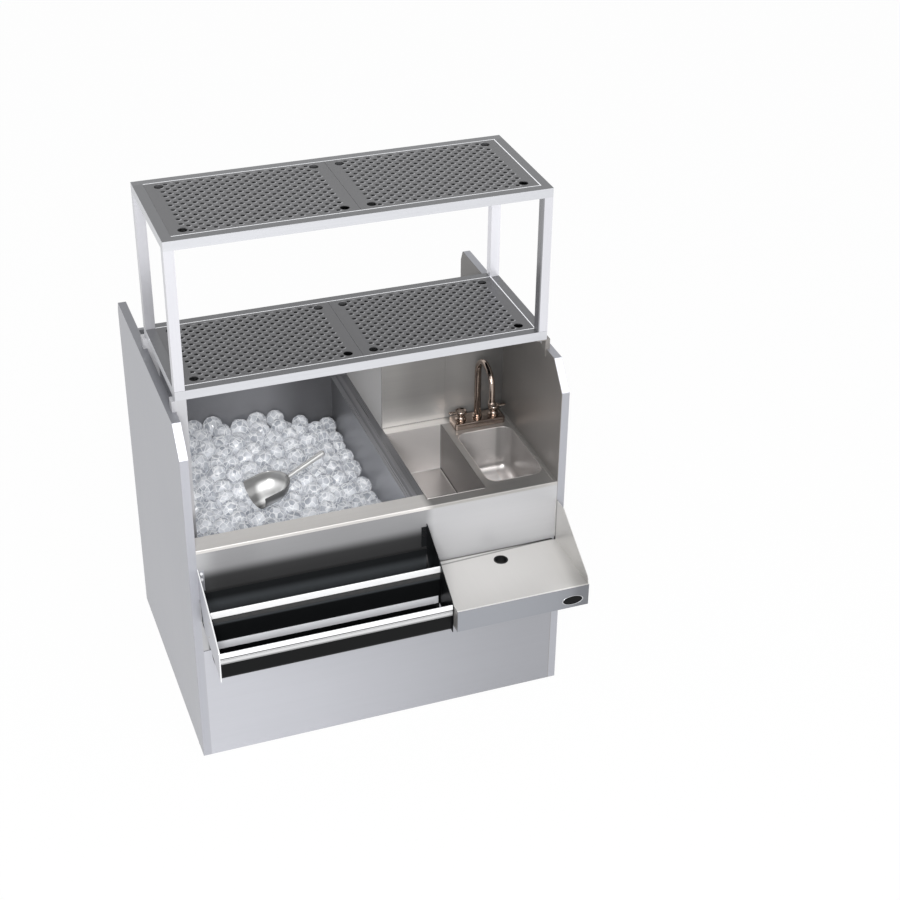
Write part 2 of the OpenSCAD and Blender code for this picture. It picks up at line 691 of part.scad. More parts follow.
// Perforated insert: round holes in staggered rows, four finger holes and a skirt that locates it
insert_w = bay_x - 2 * insert_play;
insert_l = bay_y1 - bay_y0 - 2 * insert_play;
long_row = floor((insert_w - 2 * perf_edge) / perf_pitch);
rows = floor((insert_l - 2 * row_edge) / perf_row);
row_start = (insert_l - rows * perf_row) / 2;
module perforation() for (i = [0 : rows]) {
    short = 1 - i % 2;
    holes = long_row - short;
    start = (insert_w - holes * perf_pitch) / 2;
    for (j = [0 : holes])
        if (!((i == 1 || i == rows - 1) && (j == 0 || j == holes)))
            translate([start + j * perf_pitch, row_start + i * perf_row]) circle(d = perf_dia, $fn = perf_sides);
}
module insert(sx, top) translate([sx < 0 ? -bay_x + insert_play : insert_play, bay_y0 + insert_play, top - insert_t]) {
    skirt_in = pan_flange + skirt_play - insert_play;
    linear_extrude(insert_t) difference() {
        square([insert_w, insert_l]);
        perforation();
        for (x = [finger_x, insert_w - finger_x]) for (y = [finger_y, insert_l - finger_y])
            translate([x, y]) circle(d = finger_dia);
    }
    translate([0, 0, -skirt_h]) difference() {
        translate([skirt_in, skirt_in, 0]) cube([insert_w - 2 * skirt_in, insert_l - 2 * skirt_in, skirt_h]);
        translate([skirt_in + sheet, skirt_in + sheet, -over])
            cube([insert_w - 2 * skirt_in - 2 * sheet, insert_l - 2 * skirt_in - 2 * sheet, skirt_h + 2 * over]);
    }
}
module lower_left_insert() color("#808184") place() insert(-1, lower_shelf_h);
module lower_right_insert() color("#808184") place() insert(1, lower_shelf_h);
module upper_left_insert() color("#808184") place() insert(-1, upper_shelf_h);
module upper_right_insert() color("#808184") place() insert(1, upper_shelf_h);

// Bottle rail: two bent troughs between two cheeks, each with a polished lip
rail_x0 = -in_x;
rail_x1 = rail_x0 + rail_l;
module cheek(x0, sx) {
    across(x0, x0 + cheek_t) polygon([for (p = cheek_shares)
        [-p[0] * rail_d, cheek_low_h + p[1] * (cheek_h - cheek_low_h)]]);
    fx = sx > 0 ? x0 + cheek_t : x0 - flange_w;
    block(fx, fx + flange_w, -cheek_t, 0, flange_low_h, flange_low_h + flange_h);
}
module rail_left_cheek() color("#c9c9cc") place() cheek(rail_x0, 1);
module rail_right_cheek() color("#55565a") place() cheek(rail_x1 - cheek_t, -1);

module round_bottom(d, h, r) {
    translate([0, r]) square([d, h - r]);
    translate([r, 0]) square([d - 2 * r, r]);
    translate([r, r]) circle(r);
    translate([d - r, r]) circle(r);
}
module trough(y_front, y_back, floor_h, front_h, back_top_h) {
    d = y_back - y_front;
    tall = max(front_h, back_top_h) - floor_h;
    across(rail_x0 + cheek_t, rail_x1 - cheek_t) translate([y_front, floor_h]) difference() {
        round_bottom(d, tall, trough_r);
        translate([sheet, sheet]) round_bottom(d - 2 * sheet, tall, trough_r - sheet);
        translate([-over, front_h - floor_h]) square([d / 2 + over, tall]);
        translate([d / 2, back_top_h - floor_h]) square([d / 2 + over, tall]);
    }
}
module upper_trough() color("#26272a") place()
    trough(lip_t - upper_d, 0, upper_floor_h, upper_lip_h - sheet, upper_back_h);
module lower_trough() color("#26272a") place()
    trough(lip_t - rail_d, lip_t - upper_d, lower_floor_h, lower_lip_h - sheet, lower_back_h);

// A lip's profile: a rolled bar over a thin web with a flatter fold below a seam
module lip(y_wall, top) across(rail_x0 + cheek_t, rail_x1 - cheek_t) {
    translate([y_wall - lip_web_t, top - lip_h - lip_seam - lip_low_h])
        square([lip_web_t, lip_h / 2 + lip_seam + lip_low_h]);
    translate([y_wall - lip_t, top - lip_h + lip_t / 2]) square([lip_t, lip_h - lip_t]);
    for (z = [top - lip_t / 2, top - lip_h + lip_t / 2]) translate([y_wall - lip_t / 2, z]) circle(lip_t / 2);
    translate([y_wall - lip_t + sheet / 2, top - lip_h - lip_seam - lip_low_h]) square([lip_t / 2, lip_low_h]);
}
module upper_lip() color("#f4f4f6") place() lip(lip_t - upper_d, upper_lip_h);
module lower_lip() color("#f4f4f6") place() lip(lip_t - rail_d, lower_lip_h);

module rail_screws() color("#d8d8da") place()
    for (x = [rail_x0 + cheek_t + flange_w / 2, rail_x1 - cheek_t - flange_w / 2])
        for (z = [flange_low_h + flange_h - 2 * screw_r, flange_low_h + flange_h - 2 * screw_r - screw_step])
            translate([x, -cheek_t, z]) rotate([90, 0, 0]) cylinder(r = screw_r, h = screw_h);

// Drainboard
board_x0 = rail_x1 + board_gap / 2;
board_low_h = board_h - board_lip;
module drainboard() color("#c4c0bb") place() difference() {
    union() {
        block(board_x0, in_x, -board_d, -board_gap, board_h - sheet, board_h);
        block(board_x0, in_x, -board_d, -board_d + sheet, board_low_h, board_h);
        block(board_x0, board_x0 + sheet, -board_d, -board_gap, board_low_h, board_h);
        across(in_x - sheet, in_x) polygon(concat([for (p = board_cheek_shares)
            [-p[0] * board_d, board_h + p[1] * board_rise]], [[-board_d, board_low_h], [0, board_low_h]]));
    }
    translate([outlet_x, -outlet_y, board_h - sheet - over]) cylinder(r = outlet_r + outlet_wall, h = sheet + 2 * over);
    block(in_x - sheet - board_notch, in_x - sheet, -board_gap - board_notch, 0, board_h - sheet - over, board_h + over);
}
module board_brackets() color("#9fa1a6") place() for (x = [board_x0 + gusset_in, in_x - gusset_in - gusset_w]) {
    across(x, x + gusset_t) polygon([[-gusset_t, board_low_h], [-gusset_t, board_h - sheet],
        [-gusset_share * board_d, board_h - sheet], [-gusset_share * board_d, board_h - 2 * gusset_w / 2]]);
    block(x, x + gusset_w, -gusset_t, 0, board_low_h, board_h - sheet);
}
module board_outlet() color("#141416") place() translate([outlet_x, -outlet_y, board_h]) difference() {
    union() {
        translate([0, 0, -outlet_len]) cylinder(r = outlet_r + outlet_wall, h = outlet_len);
        cylinder(r = outlet_r + outlet_wall + outlet_rim, h = outlet_rim_t);
    }
    translate([0, 0, -outlet_len - over]) cylinder(r = outlet_r, h = outlet_len + outlet_rim_t + 2 * over);
}
module oval_badge() color("#2a2c2f") place()
    translate([in_x - badge_in, -board_d, board_h - badge_drop]) rotate([90, 0, 0]) difference() {
        linear_extrude(badge_t) rounded(-badge_w / 2, badge_w / 2, -badge_h / 2, badge_h / 2, badge_h / 2 - badge_dish);
        translate([0, 0, badge_t - badge_dish]) linear_extrude(badge_t)
            rounded(-badge_w / 2 + badge_rim, badge_w / 2 - badge_rim, -badge_h / 2 + badge_rim,
                badge_h / 2 - badge_rim, badge_h / 2 - badge_rim - badge_dish);
    }

// Scoop's direction in plan, and the place over which its lowest point lies
scoop_dir = [cos(scoop_turn), sin(scoop_turn)];
scoop_side = [-sin(scoop_turn), cos(scoop_turn)];
mound_x = scoop_x - (scoop_l * cos(scoop_tip) - scoop_r * sin(scoop_tip)) * cos(scoop_turn);

// Ice: a solid heap, highest under the scoop, below one layer of loose balls that follow its curve
ice_x0 = -in_x + sheet + ice_gap;
ice_x1 = bin_right - ice_gap;
ice_y0 = ledge_d + ice_gap;
ice_y1 = bin_back_y - ice_gap;
ice_under = mound_r - ice_dia - ice_gap;
module ice_bed() color("#dfe6ee") place() intersection() {
    translate([mound_x, ice_y0, mound_z]) rotate([-90, 0, 0]) cylinder(r = ice_under, h = ice_y1 - ice_y0, $fn = mound_sides);
    block(ice_x0, ice_x1, ice_y0, ice_y1, bin_floor_h + sheet + ice_gap, deck_h);
}
ice_cols = floor((ice_x1 - ice_x0 - ice_dia) / ice_step - 1 / 2);
ice_spread = (ice_x1 - ice_x0 - ice_dia) / (ice_cols + 1 / 2);
ice_row = sqrt(ice_step * ice_step - ice_spread * ice_spread / 4);
ice_rows = floor((ice_y1 - ice_y0 - ice_dia) / ice_row);
ice_lift = mound_r - ice_dia / 2;
// Distance in plan from a point to the scoop's bowl, u along it and v across it
function bowl_dist(u, v) = u > 0 ? norm([u, v]) - scoop_r : norm([max(-scoop_l - u, 0), max(abs(v) - scoop_r, 0)]);
function clear_of_scoop(p) = bowl_dist((p - [scoop_x, scoop_y]) * scoop_dir, (p - [scoop_x, scoop_y]) * scoop_side)
    > ice_dia / 2 + scoop_keep;
module ice_balls() color("#eef3f8") place()
    for (i = [0 : ice_rows]) for (j = [0 : ice_cols]) {
        p = [ice_x0 + ice_dia / 2 + (j + (i % 2) / 2) * ice_spread, ice_y0 + ice_dia / 2 + i * ice_row];
        if (clear_of_scoop(p))
            translate([p[0], p[1], mound_z + sqrt(ice_lift * ice_lift - (p[0] - mound_x) * (p[0] - mound_x))])
                sphere(d = ice_dia, $fn = ice_sides);
    }

// Scoop: a half-round bowl with a closed round back and a tubular handle, lying on the ice
scoop_z = mound_z + ice_under + lift_gap + scoop_r * cos(scoop_tip) + scoop_l * sin(scoop_tip);
module scoop_body(r) {
    sphere(r);
    rotate([0, -90, 0]) cylinder(r = r, h = scoop_l);
}
module scoop() color("#a4a6aa") place() translate([scoop_x, scoop_y, scoop_z]) rotate([0, -scoop_tip, scoop_turn]) {
    difference() {
        scoop_body(scoop_r);
        scoop_body(scoop_r - scoop_wall);
        rotate([0, -90, 0]) cylinder(r = scoop_r - scoop_wall, h = scoop_l + over);
        block(-scoop_r - over, scoop_r + over, -scoop_r - over, scoop_r + over, 0, scoop_r + over);
        block(-scoop_r - over, -scoop_l, -scoop_r - over, scoop_r + over, -scoop_r - over, over);
    }
    difference() {
        translate([scoop_r - scoop_tang, 0, -scoop_grip_drop - scoop_tang]) rotate([0, 90 - scoop_grip_up, 0]) {
            cylinder(r = scoop_grip_r, h = scoop_handle_l);
            translate([0, 0, scoop_handle_l]) sphere(scoop_grip_r);
        }
        sphere(scoop_r - scoop_wall / 2);
    }
}

left_side_panel();
left_side_liner();
right_side_panel();
right_side_liner();
levelling_feet();
front_sill();
front_cross_rail();
bin_cross_rails();
lower_front_panel();
front_apron();
back_panel();
worktop();
deck_rear_channel();
backsplash();
chase_side_wall();
chase_cover();
bin_liner();
bin_partition();
bin_insulation();
bin_base_sheet();
bin_drain();
well_pan();
sink_bowl();
sink_strainer();
sink_tailpiece();
faucet_plate();
faucet_spout();
spout_aerator();
hot_handle();
cold_handle();
supply_shanks();
shank_nuts();
left_shelf_legs();
right_shelf_brackets();
lower_shelf_frame();
upper_shelf_frame();
front_left_post();
front_right_post();
rear_left_post();
rear_right_post();
lower_drip_pan();
upper_drip_pan();
lower_left_insert();
lower_right_insert();
upper_left_insert();
upper_right_insert();
rail_left_cheek();
rail_right_cheek();
upper_trough();
lower_trough();
upper_lip();
lower_lip();
rail_screws();
drainboard();
board_brackets();
board_outlet();
oval_badge();
ice_bed();
ice_balls();
scoop();
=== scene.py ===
import math

import bmesh
import bpy
import numpy as np
from mathutils import Matrix


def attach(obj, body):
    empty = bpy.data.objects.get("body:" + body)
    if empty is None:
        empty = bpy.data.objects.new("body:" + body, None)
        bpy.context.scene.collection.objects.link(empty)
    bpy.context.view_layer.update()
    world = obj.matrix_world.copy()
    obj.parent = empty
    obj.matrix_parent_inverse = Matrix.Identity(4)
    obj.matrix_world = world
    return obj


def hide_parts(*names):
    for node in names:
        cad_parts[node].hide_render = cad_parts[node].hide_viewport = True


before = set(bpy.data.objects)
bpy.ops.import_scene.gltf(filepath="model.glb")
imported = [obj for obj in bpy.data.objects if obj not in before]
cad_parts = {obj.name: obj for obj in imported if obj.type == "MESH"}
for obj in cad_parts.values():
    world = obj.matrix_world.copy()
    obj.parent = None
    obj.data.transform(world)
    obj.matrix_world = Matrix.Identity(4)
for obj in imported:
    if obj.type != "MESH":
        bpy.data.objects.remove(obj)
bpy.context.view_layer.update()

# Underbar cocktail station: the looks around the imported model. Shapes are worked out in
# millimetres, x to the right, y back from the panels' front face, z up from the floor, and
# are put into the scene in metres by place().
SHIFT = 269.0  # the panels' front face lies this far in front of the frame's middle
IN_X = 510.5  # inner faces of the side panels
DECK_Z = 700.0  # top of the worktop
WALL_Y = 424.0  # front face of the backsplash
BOARD_FRONT = -241.0  # the drainboard's lip
BIN = (-509.0, 88.0, 61.0, 766.5)  # x0, x1, y0, y1 of the ice bin
BIN_FLOOR = 400.0
SHEET = 1.5  # thickness of the basins' steel
SCOOP_AT = (-232.0, 305.0, 666.4)  # middle of the scoop's bowl, at its rim
SCOOP_TURN, SCOOP_TIP = 18.0, 6.0  # degrees: round the upright axis, mouth down
SCOOP_R, SCOOP_WALL, MOUTH_X = 56.8, 1.4, -50.0  # outer radius, wall and mouth of its bowl
STATION = "station"  # the body of everything that stands still


def place(points):
    """Millimetres of the drawing to metres of the scene."""
    return (np.asarray(points, float).reshape(-1, 3) - (0, SHIFT, 0)) / 1000


def linear(colour):
    """A colour written as 0 to 255 per channel, as the linear values that a shader takes."""
    c = np.asarray(colour, float) / 255
    return tuple(np.where(c <= 0.04045, c / 12.92, ((c + 0.055) / 1.055) ** 2.4)) + (1.0,)


def add(name, data):
    """A new object of the scene."""
    made = bpy.data.objects.new(name, data)
    bpy.context.scene.collection.objects.link(made)
    return made


# shader maths
class Link:
    """An output socket. Arithmetic on it adds Math nodes and gives the new output."""

    def __init__(self, tree, socket):
        self.tree, self.socket = tree, socket

    def __add__(self, other):
        return self.tree.math("ADD", self, other)

    def __sub__(self, other):
        return self.tree.math("SUBTRACT", self, other)

    def __rsub__(self, other):
        return self.tree.math("SUBTRACT", other, self)

    def __mul__(self, other):
        return self.tree.math("MULTIPLY", self, other)

    def __truediv__(self, other):
        return self.tree.math("DIVIDE", self, other)

    def __abs__(self):
        return self.tree.math("ABSOLUTE", self)

    __radd__, __rmul__ = __add__, __mul__

    def most(self, other):
        return self.tree.math("MAXIMUM", self, other)

    def ramp(self, low, high):
        """0 at low and 1 at high, smooth in between. low may be the larger of the two."""
        return self.tree.node("ShaderNodeMapRange", {"interpolation_type": "SMOOTHSTEP"},
                              {"Value": self, "From Min": low, "From Max": high})

    def band(self, low, high, soft):
        """1 between low and high, and 0 from soft outside them."""
        return self.ramp(low - soft, low) * self.ramp(high + soft, high)


class Tree:
    """A node tree with one method that adds a node from its kind, its settings, and the values or
    links of its inputs."""

    def __init__(self, tree):
        self.tree = tree

    def node(self, kind, settings=None, inputs=None, output=0):
        made = self.tree.nodes.new(kind)
        for key, value in (settings or {}).items():
            setattr(made, key, value)
        for key, value in (inputs or {}).items():
            if isinstance(value, Link):
                self.tree.links.new(value.socket, made.inputs[key])
            else:
                made.inputs[key].default_value = value
        return Link(self, made.outputs[output])

    def math(self, operation, *values):
        """A Math node on numbers or links."""
        return self.node("ShaderNodeMath", {"operation": operation}, dict(enumerate(values)))

    def mix(self, share, a, b):
        """Colour a where share is 0, b where it is 1."""
        return self.node("ShaderNodeMix", {"data_type": "RGBA"}, {0: share, 6: a, 7: b}, 2)

    def shade(self, colour, factor):
        """A colour times a number."""
        return self.node("ShaderNodeVectorMath", {"operation": "SCALE"},
                         {0: colour if isinstance(colour, Link) else colour[:3], "Scale": factor})


class Finish(Tree):
    """A material round a Principled shader. Constants go straight onto the shader's sockets."""

    def __init__(self, name, **constants):
        self.material = bpy.data.materials.new(name)
        self.material.use_nodes = True
        super().__init__(self.material.node_tree)
        self.shader = self.tree.nodes["Principled BSDF"]
        for key, value in constants.items():
            self.shader.inputs[key.replace("_", " ")].default_value = value
        self.spot = self.node("ShaderNodeTexCoord", output=3)

    def axis(self, name):
        """Object coordinate x, y or z, in metres."""
        return self.node("ShaderNodeSeparateXYZ", None, {0: self.spot}, "xyz".index(name))

    def axes(self, names):
        """Several object coordinates, named by their letters."""
        return [self.axis(name) for name in names]

    def noise(self, scale, detail, rough=0.5):
        """Noise from 0 to 1, stretched by a scale for each axis."""
        where = self.node("ShaderNodeMapping", None, {"Vector": self.spot, "Scale": scale})
        return self.node("ShaderNodeTexNoise", None,
                         {"Vector": where, "Scale": 1.0, "Detail": detail, "Roughness": rough})

    def feed(self, **links):
        """Links to the shader's sockets, by their names."""
        for key, link in links.items():
            self.tree.links.new(link.socket, self.shader.inputs[key.replace("_", " ")])

    def relief(self, height, depth):
        """A bump of that depth in metres, fed to the shader's normal."""
        self.feed(Normal=self.node("ShaderNodeBump", None,
                                   {"Height": height, "Distance": depth, "Strength": 1.0}))


# finishes: the first are the noise scales of a grain along each axis
GRAIN = {"x": (3.0, 420.0, 420.0), "y": (420.0, 3.0, 420.0), "z": (420.0, 420.0, 3.0)}
COARSE_ALONG, COARSE_ACROSS = 0.6, 0.16  # shares of those scales for its coarse part
FINE_TONE, COARSE_TONE, CLOUD_TONE = 2.2, 1.2, 0.10  # parts in the colour, the first two per streak
FINE_GLOSS, CLOUD_GLOSS, POLISH_GLOSS = 0.12, 0.08, 0.10  # parts in the roughness
SCORE = 0.000012  # depth of the brush marks in metres
PEEL = 0.00002  # depth of a polished face's orange peel


def brushed(name, colour, grain, rough, streak, tone=None, metallic=0.45, patch=None, score=SCORE):
    """Brushed sheet steel: noise stretched along the grain lightens, roughens and scores it, and a
    wide soft noise clouds it. tone, a function of the finish, gives a factor for the colour, which mostly
    paints light and shade into it, and patch a share and the second colour that it brings in."""
    made = Finish(name, Metallic=metallic)
    fine = made.noise(GRAIN[grain], 3.0, 0.65)
    coarse = made.noise([s * (COARSE_ACROSS if s > 100 else COARSE_ALONG) for s in GRAIN[grain]], 2.0)
    cloud = made.noise([2.1] * 3, 1.0)
    grain_tone = (fine - 0.5) * (FINE_TONE * streak) + (coarse - 0.5) * (COARSE_TONE * streak)
    factor = 1 + grain_tone + (cloud - 0.5) * CLOUD_TONE
    if tone:
        factor = factor * tone(made)
    base = linear(colour)
    if patch:
        share, second = patch(made)
        base = made.mix(share, base, linear(second))
    made.feed(Base_Color=made.shade(base, factor),
              Roughness=(fine - 0.5) * FINE_GLOSS + (cloud - 0.5) * CLOUD_GLOSS + rough)
    made.relief(fine * 0.7 + coarse * 0.3, score)
    return made.material


def polished(name, colour, rough, metallic=1.0, tone=None, shine=0.5):
    """Polished metal or a smooth coat: a faint cloud in its gloss and a very fine orange peel."""
    made = Finish(name, Metallic=metallic, Specular_IOR_Level=shine)
    cloud = made.noise([35.0] * 3, 3.0)
    factor = 1 + (cloud - 0.5) * CLOUD_TONE
    if tone:
        factor = factor * tone(made)
    made.feed(Base_Color=made.shade(linear(colour), factor), Roughness=(cloud - 0.5) * POLISH_GLOSS + rough)
    made.relief(made.noise([260.0] * 3, 2.0), PEEL)
    return made.material


# tones
# Each is a factor on a sheet's colour, and most of them paint light, shade, highlights and
# reflections into it. A name in it stands for a place, whose span in metres of the scene runs from
# where it begins to where it is full. The number after that name is the share of the colour that the
# place adds or takes away.
PANEL_TOP, CHAMFER_FOOT, PANEL_FRONT = 1.057, 0.980, -0.269
FRAME_TOPS = (1.114, 1.530)  # the shelf frames' top faces
HIGHLIGHT_X, HIGHLIGHT_Y = (-0.4832, 0.4862), (-0.1286, 0.2056)  # the painted highlight line round their bays ends here
BIN_END, DECK_START = 0.120, 0.150  # from the bin's side to the sinks'
HAIR = 0.0003  # how softly a crisp edge ends


def panel_painted_light(made):
    """Side panels: painted shade makes their top edges darker than their sides, most so on the left.
    The front chamfers are white with a painted highlight and the front edges a little lighter with
    painted light."""
    x, y, z = made.axes("xyz")
    right = x.ramp(0.0, 0.1)
    edge = abs(x).band(0.5116, 0.5328, HAIR)
    top = z.ramp(PANEL_TOP - 0.0008, PANEL_TOP - 0.0002) * (1 - right * 0.9)
    chamfer = edge * z.band(CHAMFER_FOOT + 0.0015, PANEL_TOP - 0.0010, 0.0008) * y.ramp(-0.15, -0.20)
    below = z.ramp(CHAMFER_FOOT + 0.001, CHAMFER_FOOT)
    front = edge * y.ramp(PANEL_FRONT + 0.0010, PANEL_FRONT + 0.0002) * below
    return 1 - top * 0.35 + chamfer * 1.10 + front * (0.20 - right * 0.14)


def post_tone(made):
    """The rear right post lies in the light, the foot of the rear left one and the front right one's
    left side in shade."""
    x, y, z = made.axes("xyz")
    rear = y.ramp(0.0, 0.1)
    right = x.ramp(0.0, 0.1) * rear
    foot = x.ramp(0.0, -0.1) * rear * z.ramp(1.34, 1.16)
    side = x.band(0.48, 0.4868, 0.0004) * (1 - rear)
    return 1 + right * 0.32 - foot * 0.26 - side * 0.62


def right_liner_painted_shade(made):
    """Inner face of the right panel, in painted shade: darkest at the back and under the shelf, paler to
    the front.
    """
    front = made.axis("y").ramp(0.16, -0.26)
    shelf = made.axis("z").ramp(0.88, 1.00)
    return 0.56 + front * 0.20 - shelf * 0.12


def lower_panel_painted_reflection(made):
    """The lower front panel's painted reflection falls off from left to right."""
    right = made.axis("x").ramp(-0.56, 0.60)
    return 1 - right * 0.42


def apron_painted_light(made):
    """Apron, in painted light and shade: light over the drainboard, with a soft cloud, and a little
    darker at its foot. Over the bottle rail it is mid grey, lighter at its left end, and lower down a
    painted reflection of the black trough lies in a soft dark band, which ends at the rail's cheek."""
    x, z = made.axes("xz")
    rail = x.ramp(DECK_START, BIN_END)
    cloud = made.noise((2.4, 1.0, 9.0), 1.0)
    foot = z.ramp(0.600, 0.520) * (1 - rail)
    plain = (0.92 + cloud * 0.24) * (1 - rail * 0.37 - foot * 0.12)
    left = x.ramp(-0.45, -0.51)
    band = x.band(-0.42, -0.38, 0.06)
    shade = plain * (1 - band * 0.08 + left * 0.42)
    dark = rail * (1 - x.ramp(-0.490, -0.498) * z.ramp(0.545, 0.530))
    soft = dark * z.ramp(0.642, 0.604)
    deep = dark * z.ramp(0.574, 0.563)
    return shade * (1 - soft * 0.84) * (1 - deep * 0.45)


def deck_painted_light(made):
    """Worktop: painted light makes the ledge before the bin light, most so at its right end, and painted
    shade makes the deck round the sinks darker, with a light strip behind the well. A painted highlight
    runs along the nose's round edge."""
    x, y = made.axes("xy")
    deck = x.ramp(BIN_END, DECK_START)
    inner = x.ramp(0.345, 0.325) * y.ramp(-0.22, -0.12)
    strip = x.ramp(0.350, 0.320) * y.ramp(0.124, 0.1265)
    front = y.ramp(-0.210, -0.235) * x.ramp(0.47, 0.42)
    right = x.ramp(0.47, 0.50)
    shade = 0.60 - inner * 0.22 - strip * 0.72 + front * 0.045 - right * 0.05
    nose = y.ramp(-0.2655, -0.2680) * deck
    ledge = x.ramp(-0.05, 0.10) * (1 - deck)
    return 1 - deck * shade + nose * 0.22 + ledge * 0.12


def wall_painted_light(made):
    """Backsplash, in painted light and shade: paler low down on the left, where it takes a painted
    reflection of the deck, dark at its right end, with a soft lighter band and a dark line along its foot."""
    x, z = made.axes("xz")
    low = z.ramp(0.80, 0.70) * x.ramp(0.44, 0.30)
    band = x.band(0.375, 0.400, 0.045)
    foot = z.ramp(0.7045, 0.7030)
    inner = x.ramp(0.17, 0.25)
    end = x.ramp(0.40, 0.50)
    return (1 - inner * 0.24 + band * 0.10 - end * 0.44 + low * 0.64) * (1 - foot * 0.45)


def chase_painted_shade(made):
    """Side wall of the chase: its front edge has the backsplash's tone, a painted shade."""
    edge = made.axis("y").ramp(0.1585, 0.1570)
    return 1 - edge * 0.62


def well_painted_light(made):
    """Well and bowl, in painted light and shade: their right walls and the well's sunk floor lie in
    shade, and both back walls and the bowl's floor are light, with a brighter painted highlight down
    the bowl's back and along the floor below it."""
    x, y, z = made.axes("xyz")
    well = x.band(0.3085, 0.3125, 0.002)
    bowl = x.ramp(0.340, 0.345)
    right = x.band(0.462, 0.4975, 0.012)
    floor = bowl * z.ramp(0.5800, 0.5560) * (0.28 + y.band(0.005, 0.040, 0.050) * 0.50)
    field = x.band(0.405, 0.425, 0.040) * z.ramp(0.560, 0.600) * bowl
    sunk = x.ramp(0.320, 0.310) * z.ramp(0.5540, 0.5515)
    back = y.ramp(0.116, 0.122)
    dark = well * 0.68 + right * 0.35 + sunk * 0.34 + bowl * 0.08
    return 1 - dark + floor + back * 0.14 + field * 0.18


def bin_painted_light(made):
    """Bin liner: mid grey, with painted shade in its back right corner. The right wall is lighter with
    painted light, most so at its front end."""
    x, y = made.axes("xy")
    corner = x.band(0.0, 0.10, 0.14) * y.ramp(0.30, 0.4975)
    right = x.ramp(0.0862, 0.0872)
    front = y.ramp(0.10, -0.20)
    return (1 - corner * 0.50) * (1 + right * (0.17 + front * 0.62))


def partition_tone(made):
    """The cap's middle ridge catches the light, and its left slope is lighter still."""
    x = made.axis("x")
    ridge = x.band(0.110, 0.116, 0.006)
    slope = x.ramp(0.103, 0.100)
    return 0.90 + ridge * 0.36 + slope * 0.45


def frame_painted_light(made):
    """Shelf frames: the top faces are dark with a painted dark reflection, the tube's faces light, and a
    painted highlight line runs round the bay where the inserts lie, apart from its left side."""
    x, y, z = made.axes("xyz")
    lower, upper = [z.band(height - 0.0004, height + 0.0004, HAIR) for height in FRAME_TOPS]
    top = lower.most(upper)
    bay = x.band(*HIGHLIGHT_X, HAIR) * y.band(*HIGHLIGHT_Y, HAIR)
    back = z.ramp(1.40, 1.45) * y.ramp(0.204, 0.207)
    return 1 - top * (1 - bay) * (0.72 - back * 0.06) + top * bay * 1.30


def board_lines_and_painted_light(made):
    """Drainboard: the line where it meets the apron is dark, and a fold line runs in front of that and
    closes on it to the right. Painted shade darkens the board towards the right, the cheek with its
    wide bend, most so in the front corner, and the lip's face, and a painted highlight runs along the
    front edge. Its left end is darker."""
    x, y = made.axes("xy")
    lip = board_lip(made)[0]
    fold = abs(y + 0.2765 + (0.4700 - x).most(0.0) * 0.050).ramp(0.0042, 0.0016)
    joint = y.ramp(-0.2785, -0.2765) * made.axis("z").ramp(0.522, 0.516)
    front = y.band(-0.5088, -0.5040, 0.0008)
    cheek = (x - 0.5105 - (y + 0.2715) * 0.16).ramp(-0.022, 0.012)
    right = x.ramp(0.20, 0.50)
    corner = x.ramp(0.40, 0.51) * y.ramp(-0.40, -0.50)
    end = x.ramp(0.1298, 0.1292)
    top = 1 - fold * 0.50 - joint * 0.74 + front * 0.34 - right * 0.10 - cheek * 0.18 - corner * 0.16
    return top * (1 - lip * 0.60) * (1 - end * 0.70)


def board_lip(made):
    """The drainboard's lip is bluish."""
    return made.axis("y").ramp(-0.5085, -0.5100), (212, 215, 223)


def screw_tone(made):
    """Rail screws: bright on the left cheek, black on the right one."""
    right = made.axis("x").ramp(-0.10, 0.10)
    return 1 - right * 0.985


def bracket_painted_light(made):
    """Right shelf bracket: the painted shade of the wall behind it, and painted light above the panel."""
    above = made.axis("z").ramp(PANEL_TOP - 0.007, PANEL_TOP + 0.001)
    return right_liner_painted_shade(made) + above * 0.18


def scoop_painted_light(made):
    """Scoop, in painted light and shade: the bowl's floor is white towards its back with a painted
    reflection, its walls are grey, its near side is dark in painted shade, and the handle is light.
    across is the distance from the bowl's axis, level with the floor."""
    x, y, z = made.axes("xyz")
    turn = math.radians(SCOOP_TURN)
    middle_x, middle_y, _ = place(SCOOP_AT)[0].tolist()
    across = (y - middle_y) * math.cos(turn) - (x - middle_x) * math.sin(turn)
    handle = x.ramp(-0.182, -0.168)
    floor = z.ramp(0.652, 0.632) * x.ramp(-0.270, -0.244)
    rim = z.ramp(0.660, 0.668)
    near = across.ramp(0.002, -0.010) * (1 - handle)
    return (0.42 + floor * 1.3 + rim * 0.12 + handle * 0.22) * (1 - near * 0.62)


BAY_X, PLAY = 0.4835, 0.0003  # a bay's length to either side, and the play round an insert
LONG_X, SHORT_X, FIRST_Y = 0.03865, 0.05425, -0.1085  # first holes of an insert's rows
PITCH, ROW, ROWS = 0.0312, 0.0147, 21
PAST_X, PAST_Y = 0.009, 0.008  # the reach of the painted glints and shade past the last holes' middles


